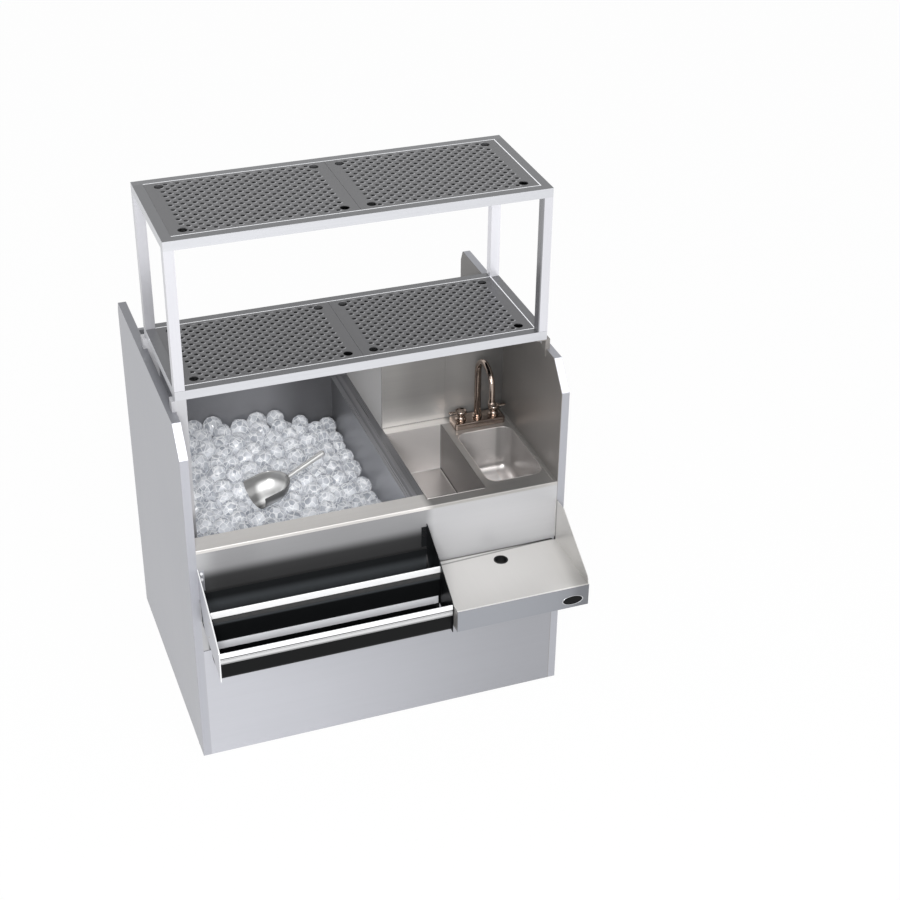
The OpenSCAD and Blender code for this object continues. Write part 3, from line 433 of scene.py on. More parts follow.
def insert_painted_glints(made):
    """Inserts: a painted glint on the front side of each hole and painted shade behind it. The holes lie
    on two rectangular grids, set off by half a pitch and one row. The distance to the nearest point of
    a grid is that of the coordinates less their nearest multiple of the pitch."""
    x = made.axis("x")
    x = x + made.math("LESS_THAN", x, 0.0) * BAY_X - PLAY
    y = made.axis("y") - FIRST_Y
    pale, dark = 0.0, 0.0
    for start_x, start_y in ((SHORT_X, 0.0), (LONG_X, ROW)):
        u = (x - start_x) / PITCH
        v = (y - start_y) / (2 * ROW)
        u = (u - made.math("FLOOR", u + 0.5)) * PITCH
        v = (v - made.math("FLOOR", v + 0.5)) * (2 * ROW)
        far = made.math("SQRT", u * u + v * v)
        rows = x.band(start_x - PAST_X, BAY_X - PLAY - start_x + PAST_X, 0.001)
        rows = rows * y.band(-PAST_Y, (ROWS - 1) * ROW + PAST_Y, 0.001)
        ring = far.band(0.0050, 0.0086, 0.0008) * rows
        pale = ring * v.ramp(0.001, -0.004) * u.ramp(-0.0070, 0.0010) + pale
        dark = ring * v.ramp(0.000, 0.005) + dark
    return 1 + pale * 1.9 - dark * 0.35


def upper_lip_tone(made):
    """The upper lip's lower fold lies in the shade of its rolled bar."""
    fold = made.axis("z").ramp(0.5575, 0.5560)
    return 1 - fold * 0.93


def lower_lip_painted_light(made):
    """The lower lip in painted light and shade: a white bar of painted highlight, a thin dark line, a light
    strip and the dark fold in shade.
    """
    z = made.axis("z")
    strip = z.ramp(0.5040, 0.5034)
    line = z.band(0.5008, 0.5036, 0.0006)
    fold = z.ramp(0.4885, 0.4875)
    return 1 - strip * 0.42 - line * 0.46 - fold * 0.3


def trough_painted_reflection(made):
    """Black troughs: a painted grey reflection that grows down the upper one's back, a dark grey band of
    painted reflection under the upper lip, and a front made blacker by painted shade."""
    y, z = made.axes("yz")
    back = y.ramp(-0.320, -0.275) * (z.ramp(0.546, 0.516) * 13.0 + 1.6)
    brow = y.band(-0.3795, -0.3752, 0.0004) * z.ramp(0.530, 0.538)
    front = y.ramp(-0.470, -0.478)
    return 1 + back + brow * 9.0 - front * 0.5


SHEETS = {  # colour, grain, roughness, streak, tone, metallic, patch, score
    "panel_outer": ((159, 160, 166), "z", 0.36, 0.03, panel_painted_light),
    "panel_inner_left": ((168, 168, 173), "z", 0.32, 0.03, panel_painted_light),
    "panel_inner_right": ((150, 146, 143), "z", 0.36, 0.05, right_liner_painted_shade, 0.3),
    "front_sheet": ((189, 190, 196), "x", 0.38, 0.03, lower_panel_painted_reflection),
    "apron_sheet": ((174, 174, 176), "x", 0.44, 0.03, apron_painted_light, 0.25),
    "deck_sheet": ((212, 209, 206), "x", 0.32, 0.05, deck_painted_light),
    "wall_sheet": ((162, 160, 158), "x", 0.36, 0.05, wall_painted_light),
    # chase_sheet is pale with painted light, for a side wall that lies in shade
    "chase_sheet": ((218, 216, 214), "x", 0.40, 0.04, chase_painted_shade, 0.1),
    "basin_sheet": ((212, 208, 206), "x", 0.30, 0.012, well_painted_light, 0.6, None, SCORE / 6),
    "bin_sheet": ((140, 140, 143), "x", 0.34, 0.04, bin_painted_light),
    "cap_sheet": ((127, 127, 130), "y", 0.30, 0.05, partition_tone),
    "frame_tube": ((194, 195, 199), "x", 0.32, 0.06, frame_painted_light),
    "post_tube": ((203, 203, 208), "z", 0.32, 0.05, post_tone),
    "leg_tube": ((188, 188, 191), "z", 0.32, 0.05),
    # the drip pans' near black is painted shade, seen through the inserts' holes
    "pan_sheet": ((46, 47, 49), "x", 0.34, 0.06),
    # the inserts' dark grey is a painted dark reflection, as on the frames' top faces
    "insert_sheet": ((100, 100, 102), "y", 0.36, 0.08, insert_painted_glints),
    "cheek_sheet": ((176, 177, 183), "x", 0.34, 0.03),
    "board_sheet": ((232, 230, 227), "y", 0.34, 0.02, board_lines_and_painted_light, 0.45, board_lip),
    "hidden_steel": ((150, 151, 156), "x", 0.36, 0.05),
    "bracket_steel": ((150, 146, 143), "z", 0.36, 0.05, bracket_painted_light, 0.3),
}
SMOOTH = {  # colour, roughness, metallic, tone, shine
    "rail_black": ((15, 16, 17), 0.34, 0.0, trough_painted_reflection, 0.13),
    # the lips' near white is a painted highlight
    "upper_lip": ((236, 236, 237), 0.22, 0.1, upper_lip_tone),
    "lower_lip": ((234, 234, 235), 0.22, 0.1, lower_lip_painted_light),
    "bead_polish": ((238, 238, 240), 0.2, 0.6),
    "screw_polish": ((238, 238, 240), 0.3, 0.0, screw_tone),
    # the rest strip's pale grey is a painted highlight where the trough's wall bends into its floor
    "rest_polish": ((226, 227, 231), 0.24, 0.0),
    "rim_polish": ((186, 187, 190), 0.3, 0.5),
    "edge_bead": ((150, 146, 143), 0.3, 0.3),
    "chrome": ((168, 153, 143), 0.13),
    "tail_chrome": ((205, 205, 205), 0.10),
    "drain_steel": ((190, 190, 188), 0.18),
    "shank_brass": ((190, 158, 98), 0.22),
    "foam_yellow": ((226, 214, 170), 0.85, 0.0),
    "rubber": ((14, 15, 16), 0.42, 0.0),
    "badge_dark": ((10, 11, 12), 0.30, 0.0, None, 0.13),
    "scoop_polish": ((232, 232, 231), 0.24, 0.5, scoop_painted_light),
}
FINISHES = {name: brushed(name, *row) for name, row in SHEETS.items()}
FINISHES.update((name, polished(name, *row)) for name, row in SMOOTH.items())


def packed_ice():
    """Ice below the lumps: white and grey hollows, from a noise that bends with its dents, and a faint glow
    in its own colour as painted light in the crevices.
    """
    made = Finish("packed_ice", Roughness=0.35, Specular_IOR_Level=0.5, Emission_Strength=0.10)
    dents = made.node("ShaderNodeVectorMath", {"operation": "MULTIPLY_ADD"},
                      {0: made.spot, 1: [26.0] * 3, 2: made.node("ShaderNodeTexCoord", output=1)})
    hollow = made.node("ShaderNodeTexNoise", None, {"Vector": dents, "Scale": 1.1, "Detail": 2.5})
    colour = made.mix(hollow.ramp(0.30, 0.68), linear((176, 180, 188)), linear((244, 246, 249)))
    made.feed(Base_Color=colour, Emission_Color=colour)
    return made.material


def clear_ice():
    """Lumps of ice: partly clear and glossy, with a faint glow in their own colour as painted light.
    Thin white lines of painted highlight cut them into cells of many sides, and each cell has its own
    tone between grey and white, clouded by a soft noise, standing in for facets in light and shade."""
    made = Finish("clear_ice", IOR=1.31, Transmission_Weight=0.40, Roughness=0.04, Specular_IOR_Level=0.9,
                  Emission_Strength=0.17)
    cells = {"Vector": made.spot, "Scale": 62.0}
    line = made.node("ShaderNodeTexVoronoi", {"feature": "DISTANCE_TO_EDGE"}, cells).ramp(0.100, 0.020)
    cell = made.node("ShaderNodeTexVoronoi", None, cells, 1)
    own = made.node("ShaderNodeSeparateXYZ", None, {0: cell})
    cloud = made.noise([48.0] * 3, 1.0)
    tone = (own * 0.55 + cloud * 1.3).ramp(0.45, 1.35)
    colour = made.mix(tone, linear((156, 160, 167)), linear((226, 228, 232)))
    colour = made.mix(line * 0.75, colour, linear((255, 255, 255)))
    made.feed(Base_Color=colour, Emission_Color=colour)
    made.relief(made.noise([90.0] * 3, 1.0), 0.0014)
    return made.material


FINISHES.update(packed_ice=packed_ice(), clear_ice=clear_ice())

NODE_FINISH = {
    "panel_outer": "left_side_panel right_side_panel",
    "panel_inner_left": "left_side_liner",
    "panel_inner_right": "right_side_liner",
    "front_sheet": "lower_front_panel",
    "apron_sheet": "front_apron",
    "deck_sheet": "worktop",
    "wall_sheet": "backsplash",
    "chase_sheet": "chase_side_wall chase_cover",
    "basin_sheet": "well_pan sink_bowl",
    "bin_sheet": "bin_liner",
    "cap_sheet": "bin_partition",
    "frame_tube": "lower_shelf_frame upper_shelf_frame",
    "post_tube": "front_left_post front_right_post rear_left_post rear_right_post",
    "leg_tube": "left_shelf_legs",
    "bracket_steel": "right_shelf_brackets",
    "pan_sheet": "lower_drip_pan upper_drip_pan",
    "insert_sheet": "lower_left_insert lower_right_insert upper_left_insert upper_right_insert",
    "cheek_sheet": "rail_left_cheek",
    "board_sheet": "drainboard",
    "hidden_steel": "front_sill front_cross_rail bin_cross_rails deck_rear_channel "
                    "back_panel bin_base_sheet board_brackets levelling_feet",
    "rail_black": "rail_right_cheek upper_trough lower_trough",
    "lower_lip": "lower_lip",
    "screw_polish": "rail_screws",
    "upper_lip": "upper_lip",
    "tail_chrome": "sink_tailpiece",
    "drain_steel": "sink_strainer bin_drain",
    "shank_brass": "supply_shanks shank_nuts",
    "foam_yellow": "bin_insulation",
    "rubber": "board_outlet",
}
for finish, nodes in NODE_FINISH.items():
    for node in nodes.split():
        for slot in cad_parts[node].material_slots:
            slot.material = FINISHES[finish]

# surfaces
def grid(points, round_rows=False, round_columns=True, inside_out=False):
    """Quads over an array of points (rows, columns, 3). A round side joins its last line to its first."""
    rows, columns = points.shape[:2]
    i = np.arange(rows if round_rows else rows - 1)[:, None]
    j = np.arange(columns if round_columns else columns - 1)[None, :]
    below, above = i * columns, (i + 1) % rows * columns
    left, right = j, (j + 1) % columns
    quads = np.stack([below + left, below + right, above + right, above + left], -1).reshape(-1, 4)
    return points.reshape(-1, 3), (quads[:, ::-1] if inside_out else quads).tolist()


def capped(points, inside_out=False):
    """A grid round in its columns, closed by one face at its first and one at its last row."""
    flat, faces = grid(points, inside_out=inside_out)
    rows, columns = points.shape[:2]
    first, last = list(range(columns)), list(range((rows - 1) * columns, rows * columns))
    return flat, faces + ([first, last[::-1]] if inside_out else [first[::-1], last])


def lathe(profile, centre, sides=56, flute=None):
    """A profile of radius and height turned round an upright axis: x = r cos a, y = r sin a.
    flute gives a factor on the radius for each angle and profile step."""
    a = np.linspace(0, 2 * np.pi, sides, endpoint=False)[None, :]
    r, z = np.asarray(profile, float).T[:, :, None]
    r = r * (flute(a, np.arange(len(profile))[:, None]) if flute else 1)
    x, y = centre[0] + r * np.cos(a), centre[1] + r * np.sin(a)
    return capped(np.stack([x, y, centre[2] + z + 0 * a], -1))


def tube(path, radius, side, sides, flat=1.0):
    """A round tube along a path that lies in a plane with the normal side: each point of the path
    carries a circle across its tangent. radius may change along it, and flat scales it along side."""
    path = np.asarray(path, float)
    along = np.gradient(path, axis=0)
    along /= np.linalg.norm(along, axis=1, keepdims=True)
    u = np.asarray(side, float) - along * (along @ np.asarray(side, float))[:, None]
    u /= np.linalg.norm(u, axis=1, keepdims=True)
    v = np.cross(along, u)
    a = np.linspace(0, 2 * np.pi, sides, endpoint=False)[None, :, None]
    r = np.broadcast_to(np.asarray(radius, float), (len(path),))[:, None, None]
    return capped(path[:, None] + r * (np.cos(a) * u[:, None] * flat + np.sin(a) * v[:, None]))


CORNER_STEPS, LEAST_CORNER = 10, 0.2


def rounded_outline(x0, x1, y0, y1, radius, inset=0.0):
    """A rectangle with round corners, moved inwards by inset, anticlockwise: quarter circles about
    four centres, whose radius falls with the inset."""
    r = np.maximum(radius - np.asarray(inset, float), LEAST_CORNER)
    a = np.linspace(0, np.pi / 2, CORNER_STEPS)[None, :] + np.arange(4)[:, None] * np.pi / 2
    sx, sy = np.array([[1, -1, -1, 1], [1, 1, -1, -1]], float)[:, :, None]
    half_x, half_y = (x1 - x0) / 2 - inset - r, (y1 - y0) / 2 - inset - r
    x = (x0 + x1) / 2 + sx * half_x + r * np.cos(a)
    y = (y0 + y1) / 2 + sy * half_y + r * np.sin(a)
    return np.stack([x, y], -1).reshape(-1, 2)


def stacked(outlines, heights):
    """Outlines one above the other, as rows of a grid."""
    return np.stack([np.column_stack([o, np.full(len(o), float(z))]) for o, z in zip(outlines, heights)])


def join(parts):
    """Several (points, faces) in one, with the faces renumbered."""
    points, faces, count = [], [], 0
    for flat, quads in parts:
        points.append(flat)
        faces += [[k + count for k in face] for face in quads]
        count += len(flat)
    return np.concatenate(points), faces


def turned(points, axis, degrees):
    """Points turned round an axis through the origin."""
    return np.asarray(points) @ np.array(Matrix.Rotation(math.radians(degrees), 3, axis)).T


def piece(name, shape, finish, body=STATION, replaces=(), crease=35.0):
    """Puts a shape, in the drawing's millimetres, into the scene as a piece that rides on a body. Its
    faces are smooth, apart from edges sharper than crease degrees."""
    points, faces = shape
    mesh = bpy.data.meshes.new(name)
    mesh.from_pydata(place(points).tolist(), [], faces)
    mesh.materials.append(FINISHES[finish])
    mesh.polygons.foreach_set("use_smooth", np.ones(len(mesh.polygons), bool))
    mesh.set_sharp_from_angle(angle=math.radians(crease))
    mesh.update()
    made = add(name, mesh)
    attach(made, body)
    if replaces:
        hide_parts(*replaces)


def arc(centre, radius, start, stop, steps):
    """Points of a circle, angles in degrees."""
    a = np.radians(np.linspace(start, stop, steps))
    return np.column_stack([centre[0] + radius * np.cos(a), centre[1] + radius * np.sin(a)])


# basins
def basin(x0, x1, y0, y1, corner, floor, fillet, lip, hole=1.0, fall=0.0):
    """A basin's wall as one closed skin. Rows run from the floor's middle out, up the inner wall by a
    quarter circle, over the rolled lip, down the outside and back under the floor. Each row is a
    rounded outline at its own inset; floor rows are drawn in towards the drain's circle, whose radius
    is hole, and sink by fall."""
    turn = np.radians(np.linspace(0, 90, 9))
    inner = [(fillet * (1 - math.sin(t)), floor + fillet * (1 - math.cos(t))) for t in turn]
    top = [(0.0, DECK_Z - 1.2), (-0.4, DECK_Z + 0.3), (-lip * 0.5, DECK_Z + 0.7), (-lip, DECK_Z + 0.4),
           (-lip, DECK_Z - 3.0)]
    outer = [(-SHEET, DECK_Z - 4.0)] + [(i - SHEET, z - SHEET) for i, z in inner[::-1]]
    rows = [(rounded_outline(x0, x1, y0, y1, corner, i), z) for i, z in inner + top + outer]
    edge = rounded_outline(x0, x1, y0, y1, corner, fillet)
    middle = np.array([(x0 + x1) / 2, (y0 + y1) / 2])
    around = edge - middle
    circle = middle + around / np.linalg.norm(around, axis=1, keepdims=True) * hole
    floor_rows = [(edge + (circle - edge) * s, floor - fall * s) for s in (1.0, 0.8, 0.55, 0.3, 0.12)]
    under_rows = [(o, z - SHEET) for o, z in floor_rows[::-1]]
    rows = floor_rows + rows + under_rows
    return grid(stacked(*zip(*rows)), round_rows=True, inside_out=True)


BOWL = (332, 496, 58, 325)  # x0, x1, y0, y1
WELL = (141.5, 310, 36, 393)
piece("hand_sink", basin(*BOWL, corner=30, floor=555, fillet=28, lip=2.8, hole=24, fall=2.0), "basin_sheet",
      replaces=("sink_bowl",), crease=60)
piece("garnish_well", basin(*WELL, corner=3, floor=550, fillet=5, lip=1.0), "basin_sheet",
      replaces=("well_pan",), crease=60)

BEAD_IN, BEAD_TURN, BEAD_R = 9.0, 22.0, 1.3  # from the walls, its bend, its radius


def marine_edge():
    """A fine raised bead on the deck along the right wall, turning behind the faucet."""
    x, y = IN_X - BEAD_IN, WALL_Y - BEAD_IN
    side = [(x, 12), (x, 120), (x, 250)]
    bend = arc((x - BEAD_TURN, y - BEAD_TURN), BEAD_TURN, 0, 90, 9)
    back = [(x - 60, y), (x - 120, y), (BOWL[0] + 10, y)]
    path = np.concatenate([side, bend, back])
    return tube(np.column_stack([path, np.full(len(path), DECK_Z)]), BEAD_R, (0, 0, 1), 12)


piece("marine_edge", marine_edge(), "edge_bead")

# faucet
FAUCET = (414.0, 373.0)
REACH, RISE = 55.5, 867.5  # the gooseneck's radius and the height of its middle
PLATE_Z = 720.0  # top of the deck plate
PLATE_HALF_X, PLATE_HALF_Y, PLATE_CORNER = 77.5, 29.0, 7.0
LEVER_X = 50.8  # the handles' distance from the spout


def faucet_plate():
    """A rounded block: outlines that step in at a groove below the top and round over at the edge."""
    steps = [(0.6, 700.1), (0, 700.8), (0, 712.5), (0.9, 713.1), (0.9, 714.1), (0.1, 714.8), (0.1, 717.0),
             (0.9, 718.8), (2.2, 719.7), (4, PLATE_Z)]
    x, y = FAUCET
    box = (x - PLATE_HALF_X, x + PLATE_HALF_X, y - PLATE_HALF_Y, y + PLATE_HALF_Y)
    rows = [(rounded_outline(*box, PLATE_CORNER, i), z) for i, z in steps]
    return capped(stacked(*zip(*rows)))


piece("faucet_deck_plate", faucet_plate(), "chrome", replaces=("faucet_plate",), crease=30)


def gooseneck():
    """The spout: a straight riser, half a circle, and a short straight fall, with a turned collar at
    its foot. The tube tapers from 9.6 mm radius to 8.6 mm."""
    x, y = FAUCET
    rise = np.column_stack([np.full(8, y), np.linspace(PLATE_Z + 6, RISE - 4, 8)])
    bend = arc((y - REACH, RISE), REACH, 0, 180, 37)
    fall = np.column_stack([np.full(4, y - 2 * REACH), np.linspace(RISE - 5, RISE - 33.4, 4)])
    yz = np.concatenate([rise, bend, fall])
    radius = np.interp(np.arange(len(yz)), [0, 8, 28, len(yz) - 1], [9.6, 9.6, 8.8, 8.6])
    pipe = tube(np.column_stack([np.full(len(yz), x), yz]), radius, (1, 0, 0), 36)
    collar = [(12.5, 0.4), (13.8, 0.9), (13.9, 3.4), (12.2, 4.6), (11.3, 5.6), (11.3, 8.4), (12.5, 9.6),
              (12.6, 11.0), (11.2, 12.4), (9.7, 13.0)]
    return join([pipe, lathe(collar, (x, y, PLATE_Z))])


piece("gooseneck_spout", gooseneck(), "chrome", "spout", ("faucet_spout",))


def aerator():
    """A short turned sleeve with fine flutes and a hollow end."""
    def flute(a, row):
        return 1 + 0.02 * np.cos(24 * a) * ((row >= 4) & (row <= 6))
    profile = [(7.6, 3.0), (8.0, 0.3), (9.8, 0.0), (10.5, 0.8), (10.8, 2.0), (10.9, 7.5), (10.8, 11.5),
               (10.2, 12.6), (9.4, 13.0), (9.3, 15.6), (8.9, 16.0)]
    return lathe(profile, (FAUCET[0], FAUCET[1] - 2 * REACH, RISE - 50), 96, flute)


piece("aerator_sleeve", aerator(), "chrome", "spout", ("spout_aerator",))


def lever_handle(side):
    """A turned hub under a round dished cap, with a flattened lever that widens towards its round
    end. side is -1 for the hot one, whose lever points to the left."""
    hub = [(15.0, 0.4), (15.8, 1.0), (15.8, 3.6), (13.4, 5.2), (11.2, 7.5), (10.4, 11.5), (11.0, 15.5),
           (14.0, 18.5), (16.2, 20.8), (16.5, 22.4), (16.5, 27.2), (15.6, 28.7), (14.2, 29.0), (13.0, 28.0),
           (11.6, 26.6), (6.0, 26.2), (2.5, 26.8), (0.8, 27.0)]
    start, stop, end_r, height = 12.0, 32.0, 6.4, 25.2
    reach = np.linspace(start, stop, 12)
    close = np.linspace(0.2, np.pi / 2, 6)
    x = np.concatenate([reach, stop + 5.8 * np.sin(close)])
    wide = np.interp(reach, [start, 22, stop], [5.4, 5.6, end_r])
    wide = np.concatenate([wide, end_r * np.cos(close * 0.96)])
    lever = tube(np.column_stack([x, 0 * x, np.full(len(x), height)]), wide, (0, 0, 1), 20, flat=0.55)
    points, faces = join([lathe(hub, (0, 0, 0)), lever])
    points = turned(points, "Z", 180 if side < 0 else 0)
    return points + (FAUCET[0] + side * LEVER_X, FAUCET[1], PLATE_Z), faces


piece("hot_lever_handle", lever_handle(-1), "chrome", "hot_lever", ("hot_handle",))
piece("cold_lever_handle", lever_handle(1), "chrome", "cold_lever", ("cold_handle",))

# bottle rail and drainboard
REST = (-507.5, 122.0, -110.6, -107.2)  # x0, x1, y0, y1
REST_FOOT, REST_TOP = 456.0, 479.0


def rest_strip():
    """A flat polished strip along the foot of the upper trough's front wall. Its pale grey is a painted
    highlight, the light caught where the wall bends into the trough's floor.
    """
    return capped(stacked([rounded_outline(*REST, 1.0)] * 2, [REST_FOOT, REST_TOP]))


piece("bottle_rest_strip", rest_strip(), "rest_polish")

CHEEK_BEAD_R, RIVET_R = 1.9, 3.2
RIVETS = ((-37, 494), (-116, 575), (-111, 546), (-95, 488))  # y and z on the left cheek


def cheek_trim():
    """A bead along the free edge of the rail's left cheek: a tube through the cheek's corners."""
    corners = np.array([(-3, 643), (-108, 587.5), (-206, 525.5), (-211.5, 516), (-211.5, 429)], float)
    sides = [np.linspace(a, b, 8, endpoint=False) for a, b in zip(corners[:-1], corners[1:])]
    path = np.concatenate(sides + [corners[-1:]])
    return tube(np.column_stack([np.full(len(path), 0.3 - IN_X), path]), CHEEK_BEAD_R, (1, 0, 0), 12)


piece("cheek_edge_bead", cheek_trim(), "bead_polish")


def rivet(y, z):
    """A low dome on the left cheek's outer face: a turned profile laid over to point along -x."""
    dome = [(RIVET_R, 0.0), (RIVET_R * 0.92, 0.6), (RIVET_R * 0.62, 1.2), (RIVET_R * 0.2, 1.5)]
    flat, faces = lathe(dome, (0, 0, 0), 16)
    return np.column_stack([-IN_X - flat[:, 2], y + flat[:, 0], z + flat[:, 1]]), faces


piece("cheek_rivets", join([rivet(y, z) for y, z in RIVETS]), "drain_steel")

BADGE_X, BADGE_Z, BADGE_HALF_X, BADGE_HALF_Z = 463.5, 473.0, 31.0, 14.5


def oval(rows):
    """Ovals one before the other on the drainboard's lip: each row is a share of the badge's size and
    its height off the lip. Closed by a face at its first and last row."""
    a = np.linspace(0, 2 * np.pi, 64, endpoint=False)[None, :]
    share, off = np.array(rows, float).T[:, :, None]
    x = BADGE_X + BADGE_HALF_X * share * np.cos(a)
    z = BADGE_Z + BADGE_HALF_Z * share * np.sin(a)
    return capped(np.stack([x, BOARD_FRONT - off + 0 * a, z], -1))


piece("badge_rim", oval([(1.0, 0.02), (1.0, 0.7), (0.985, 1.0), (0.95, 1.0), (0.93, 0.7), (0.925, 0.4)]),
      "rim_polish", replaces=("oval_badge",))
piece("badge_field", oval([(0.92, 0.42), (0.915, 0.6), (0.7, 0.75), (0.4, 0.85), (0.08, 0.9)]),
      "badge_dark")

# ice
HEAP_TOP, HEAP_R, HEAP_X = 655.0, 800.0, -273.0  # crest, radius and middle of the heap's envelope
LUMP_DEPTH = 118.0  # how far below its highest place a lump may lie
FILL_DEPTH = 104.0  # the fill's top, below the envelope
LUMPS, SEED, LUMP_R = 250, 7, (25.0, 31.5)
MARGIN, START_DEPTH = 30, (25, 125)  # at the start, from the walls and below the envelope
RIDGE = (-7, 3)  # how far a lump's top may lie off the envelope
BOWL_CLEAR, GRIP_CLEAR = 58.5, 10.5  # kept clear round the axes of the scoop's bowl and grip
GRIP = ((57, 0, -11), (189, 0, 12))  # the handle's axis in the scoop's own axes
STEPS, RISING, RISE_STEP = 420, 300, 0.35  # steps, those with a rise, and the rise of a step
PUSH, WALL_GAP = 0.42, 0.5  # share of an overlap that a step undoes, and the gap to the walls


def heap_top(x):
    """Height of the heap's envelope: a circle of radius HEAP_R with its crest over HEAP_X."""
    return HEAP_TOP - HEAP_R + np.sqrt(HEAP_R ** 2 - (x - HEAP_X) ** 2)


def scoop_frame(points):
    """From the scoop's own axes, mouth towards -x, to its place on the ice."""
    return turned(turned(points, "Y", -SCOOP_TIP), "Z", SCOOP_TURN) + SCOOP_AT


def settle(count, seed):
    """Lumps of ice settled by pushing overlapping ones apart, step after step, within the bin's walls,
    under the heap's envelope and clear of the scoop. All pairs are worked out as one array."""
    rng = np.random.default_rng(seed)
    radius = rng.uniform(*LUMP_R, count)
    x0, x1, y0, y1 = BIN
    x = rng.uniform(x0 + MARGIN, x1 - MARGIN, count)
    y = rng.uniform(y0 + MARGIN, y1 - MARGIN, count)
    p = np.column_stack([x, y, heap_top(x) - rng.uniform(*START_DEPTH, count)])
    reach = radius[:, None] + radius[None, :]
    np.fill_diagonal(reach, 0)
    ridge = rng.uniform(*RIDGE, count)
    head, mouth, root, end = [scoop_frame([spot])[0] for spot in ((0, 0, 0), (MOUTH_X, 0, 0), *GRIP)]
    for step in range(STEPS):
        apart = p[:, None] - p[None, :]
        far = np.linalg.norm(apart, axis=2) + 1e-6
        push = np.clip(reach - far, 0, None) / far * 0.5
        p += (apart * push[:, :, None]).sum(1) * PUSH
        for a, b, keep in ((head, mouth, BOWL_CLEAR), (root, end, GRIP_CLEAR)):
            line = b - a
            t = np.clip((p - a) @ line / (line @ line), 0, 1)
            off = p - (a + t[:, None] * line)
            near = np.linalg.norm(off, axis=1, keepdims=True)
            p += off / near * np.clip(keep + radius[:, None] - near, 0, None)
        p[:, 2] += RISE_STEP if step < RISING else 0.0
        p[:, 0] = np.clip(p[:, 0], x0 + radius + WALL_GAP, x1 - radius - WALL_GAP)
        p[:, 1] = np.clip(p[:, 1], y0 + radius + WALL_GAP, y1 - radius - WALL_GAP)
        top = heap_top(p[:, 0]) + ridge - radius
        p[:, 2] = np.clip(p[:, 2], top - LUMP_DEPTH, top)
    return p, radius


def cut_ball():
    """A ball with 32 faces, 12 of five sides and 20 of six: the hull of the even permutations of
    (0, 1, 3f), (2, 1 + 2f, f) and (1, 2 + f, 2f) with all signs, f being the golden ratio."""
    f = (1 + 5 ** 0.5) / 2
    seeds = np.array([(0, 1, 3 * f), (2, 1 + 2 * f, f), (1, 2 + f, 2 * f)])
    signs = np.array(np.meshgrid([1, -1], [1, -1], [1, -1])).reshape(3, -1).T
    corners = (seeds[:, None] * signs[None]).reshape(-1, 3)
    turns = np.concatenate([np.roll(corners, shift, 1) for shift in range(3)])
    corners = np.unique(np.round(turns, 6), axis=0)
    corners /= np.linalg.norm(corners, axis=1, keepdims=True)
    work = bmesh.new()
    for corner in corners:
        work.verts.new(corner)
    bmesh.ops.convex_hull(work, input=work.verts)
    bmesh.ops.dissolve_limit(work, angle_limit=0.02, verts=work.verts, edges=work.edges)
    work.verts.index_update()
    points = np.array([v.co for v in work.verts])
    faces = [[v.index for v in face.verts] for face in work.faces]
    work.free()
    return points, faces


def lumps(count, seed):
    """One cut ball for each settled lump, turned its own way by a random rotation."""
    centres, radius = settle(count, seed)
    ball, faces = cut_ball()
    rng = np.random.default_rng(seed + 1)
    spin, _ = np.linalg.qr(rng.normal(size=(count, 3, 3)))
    spin *= np.sign(np.linalg.det(spin))[:, None, None]
    points = np.einsum("nij,vj->nvi", spin, ball) * radius[:, None, None] + centres[:, None]
    sizes = np.array([len(f) for f in faces])
    all_faces = []
    for size in np.unique(sizes):
        same = np.array([f for f in faces if len(f) == size])
        all_faces += (same[None] + np.arange(count)[:, None, None] * len(ball)).reshape(-1, size).tolist()
    return points.reshape(-1, 3), all_faces


piece("ice_lumps", lumps(LUMPS, SEED), "clear_ice", replaces=("ice_balls",), crease=60)


def ice_fill():
    """The ice below the lumps: a sheet FILL_DEPTH under the envelope, with dents between the lumps,
    closed down to the bin's floor by its outermost lines."""
    x0, x1, y0, y1 = BIN
    x = np.concatenate([[x0 + 0.6], np.linspace(x0 + 0.7, x1 - 0.7, 60), [x1 - 0.6]])
    y = np.concatenate([[y0 + 0.6], np.linspace(y0 + 0.7, y1 - 0.7, 70), [y1 - 0.6]])
    gx, gy = np.meshgrid(x, y)
    z = heap_top(gx) - FILL_DEPTH + 5 * np.sin(gx / 8.1) * np.sin(gy / 8.7)
    z[[0, -1], :] = z[:, [0, -1]] = BIN_FLOOR + 2.6
    points = np.stack([gx, gy, z], -1)
    flat, faces = grid(points, round_columns=False)
    rows, columns = gx.shape
    k = np.arange(rows * columns).reshape(rows, columns)
    ring = np.concatenate([k[0, :-1], k[:-1, -1], k[-1, :0:-1], k[:0:-1, 0]])
    return flat, faces + [ring[::-1].tolist()]


piece("ice_fill", ice_fill(), "packed_ice", replaces=("ice_bed",), crease=60)

# scoop
RIM_R, STRAP_R = 56.2, 57.6  # the rim's bead and the strap, from the bowl's axis


def scoop_shell():
    """The scoop's bowl: half a tube of radius SCOOP_R that closes in a quarter ball. Rows run from the
    mouth to the back, columns round the underside. Inner and outer skin meet at the rim."""
    phi = np.linspace(np.pi, 2 * np.pi, 41)
    close = np.linspace(0, np.pi / 2 * 0.985, 18)

    def skin(r):
        x = np.concatenate([np.linspace(MOUTH_X, 0, 8, endpoint=False), r * np.sin(close)])[:, None]
        wide = np.concatenate([np.full(8, r), r * np.cos(close)])[:, None]
        return np.stack([x + 0 * phi, wide * np.cos(phi), wide * np.sin(phi)], -1)

    outer, inner = skin(SCOOP_R), skin(SCOOP_R - SCOOP_WALL)
    ring = np.concatenate([outer, inner[:, ::-1]], 1)
    return capped(ring, inside_out=True)


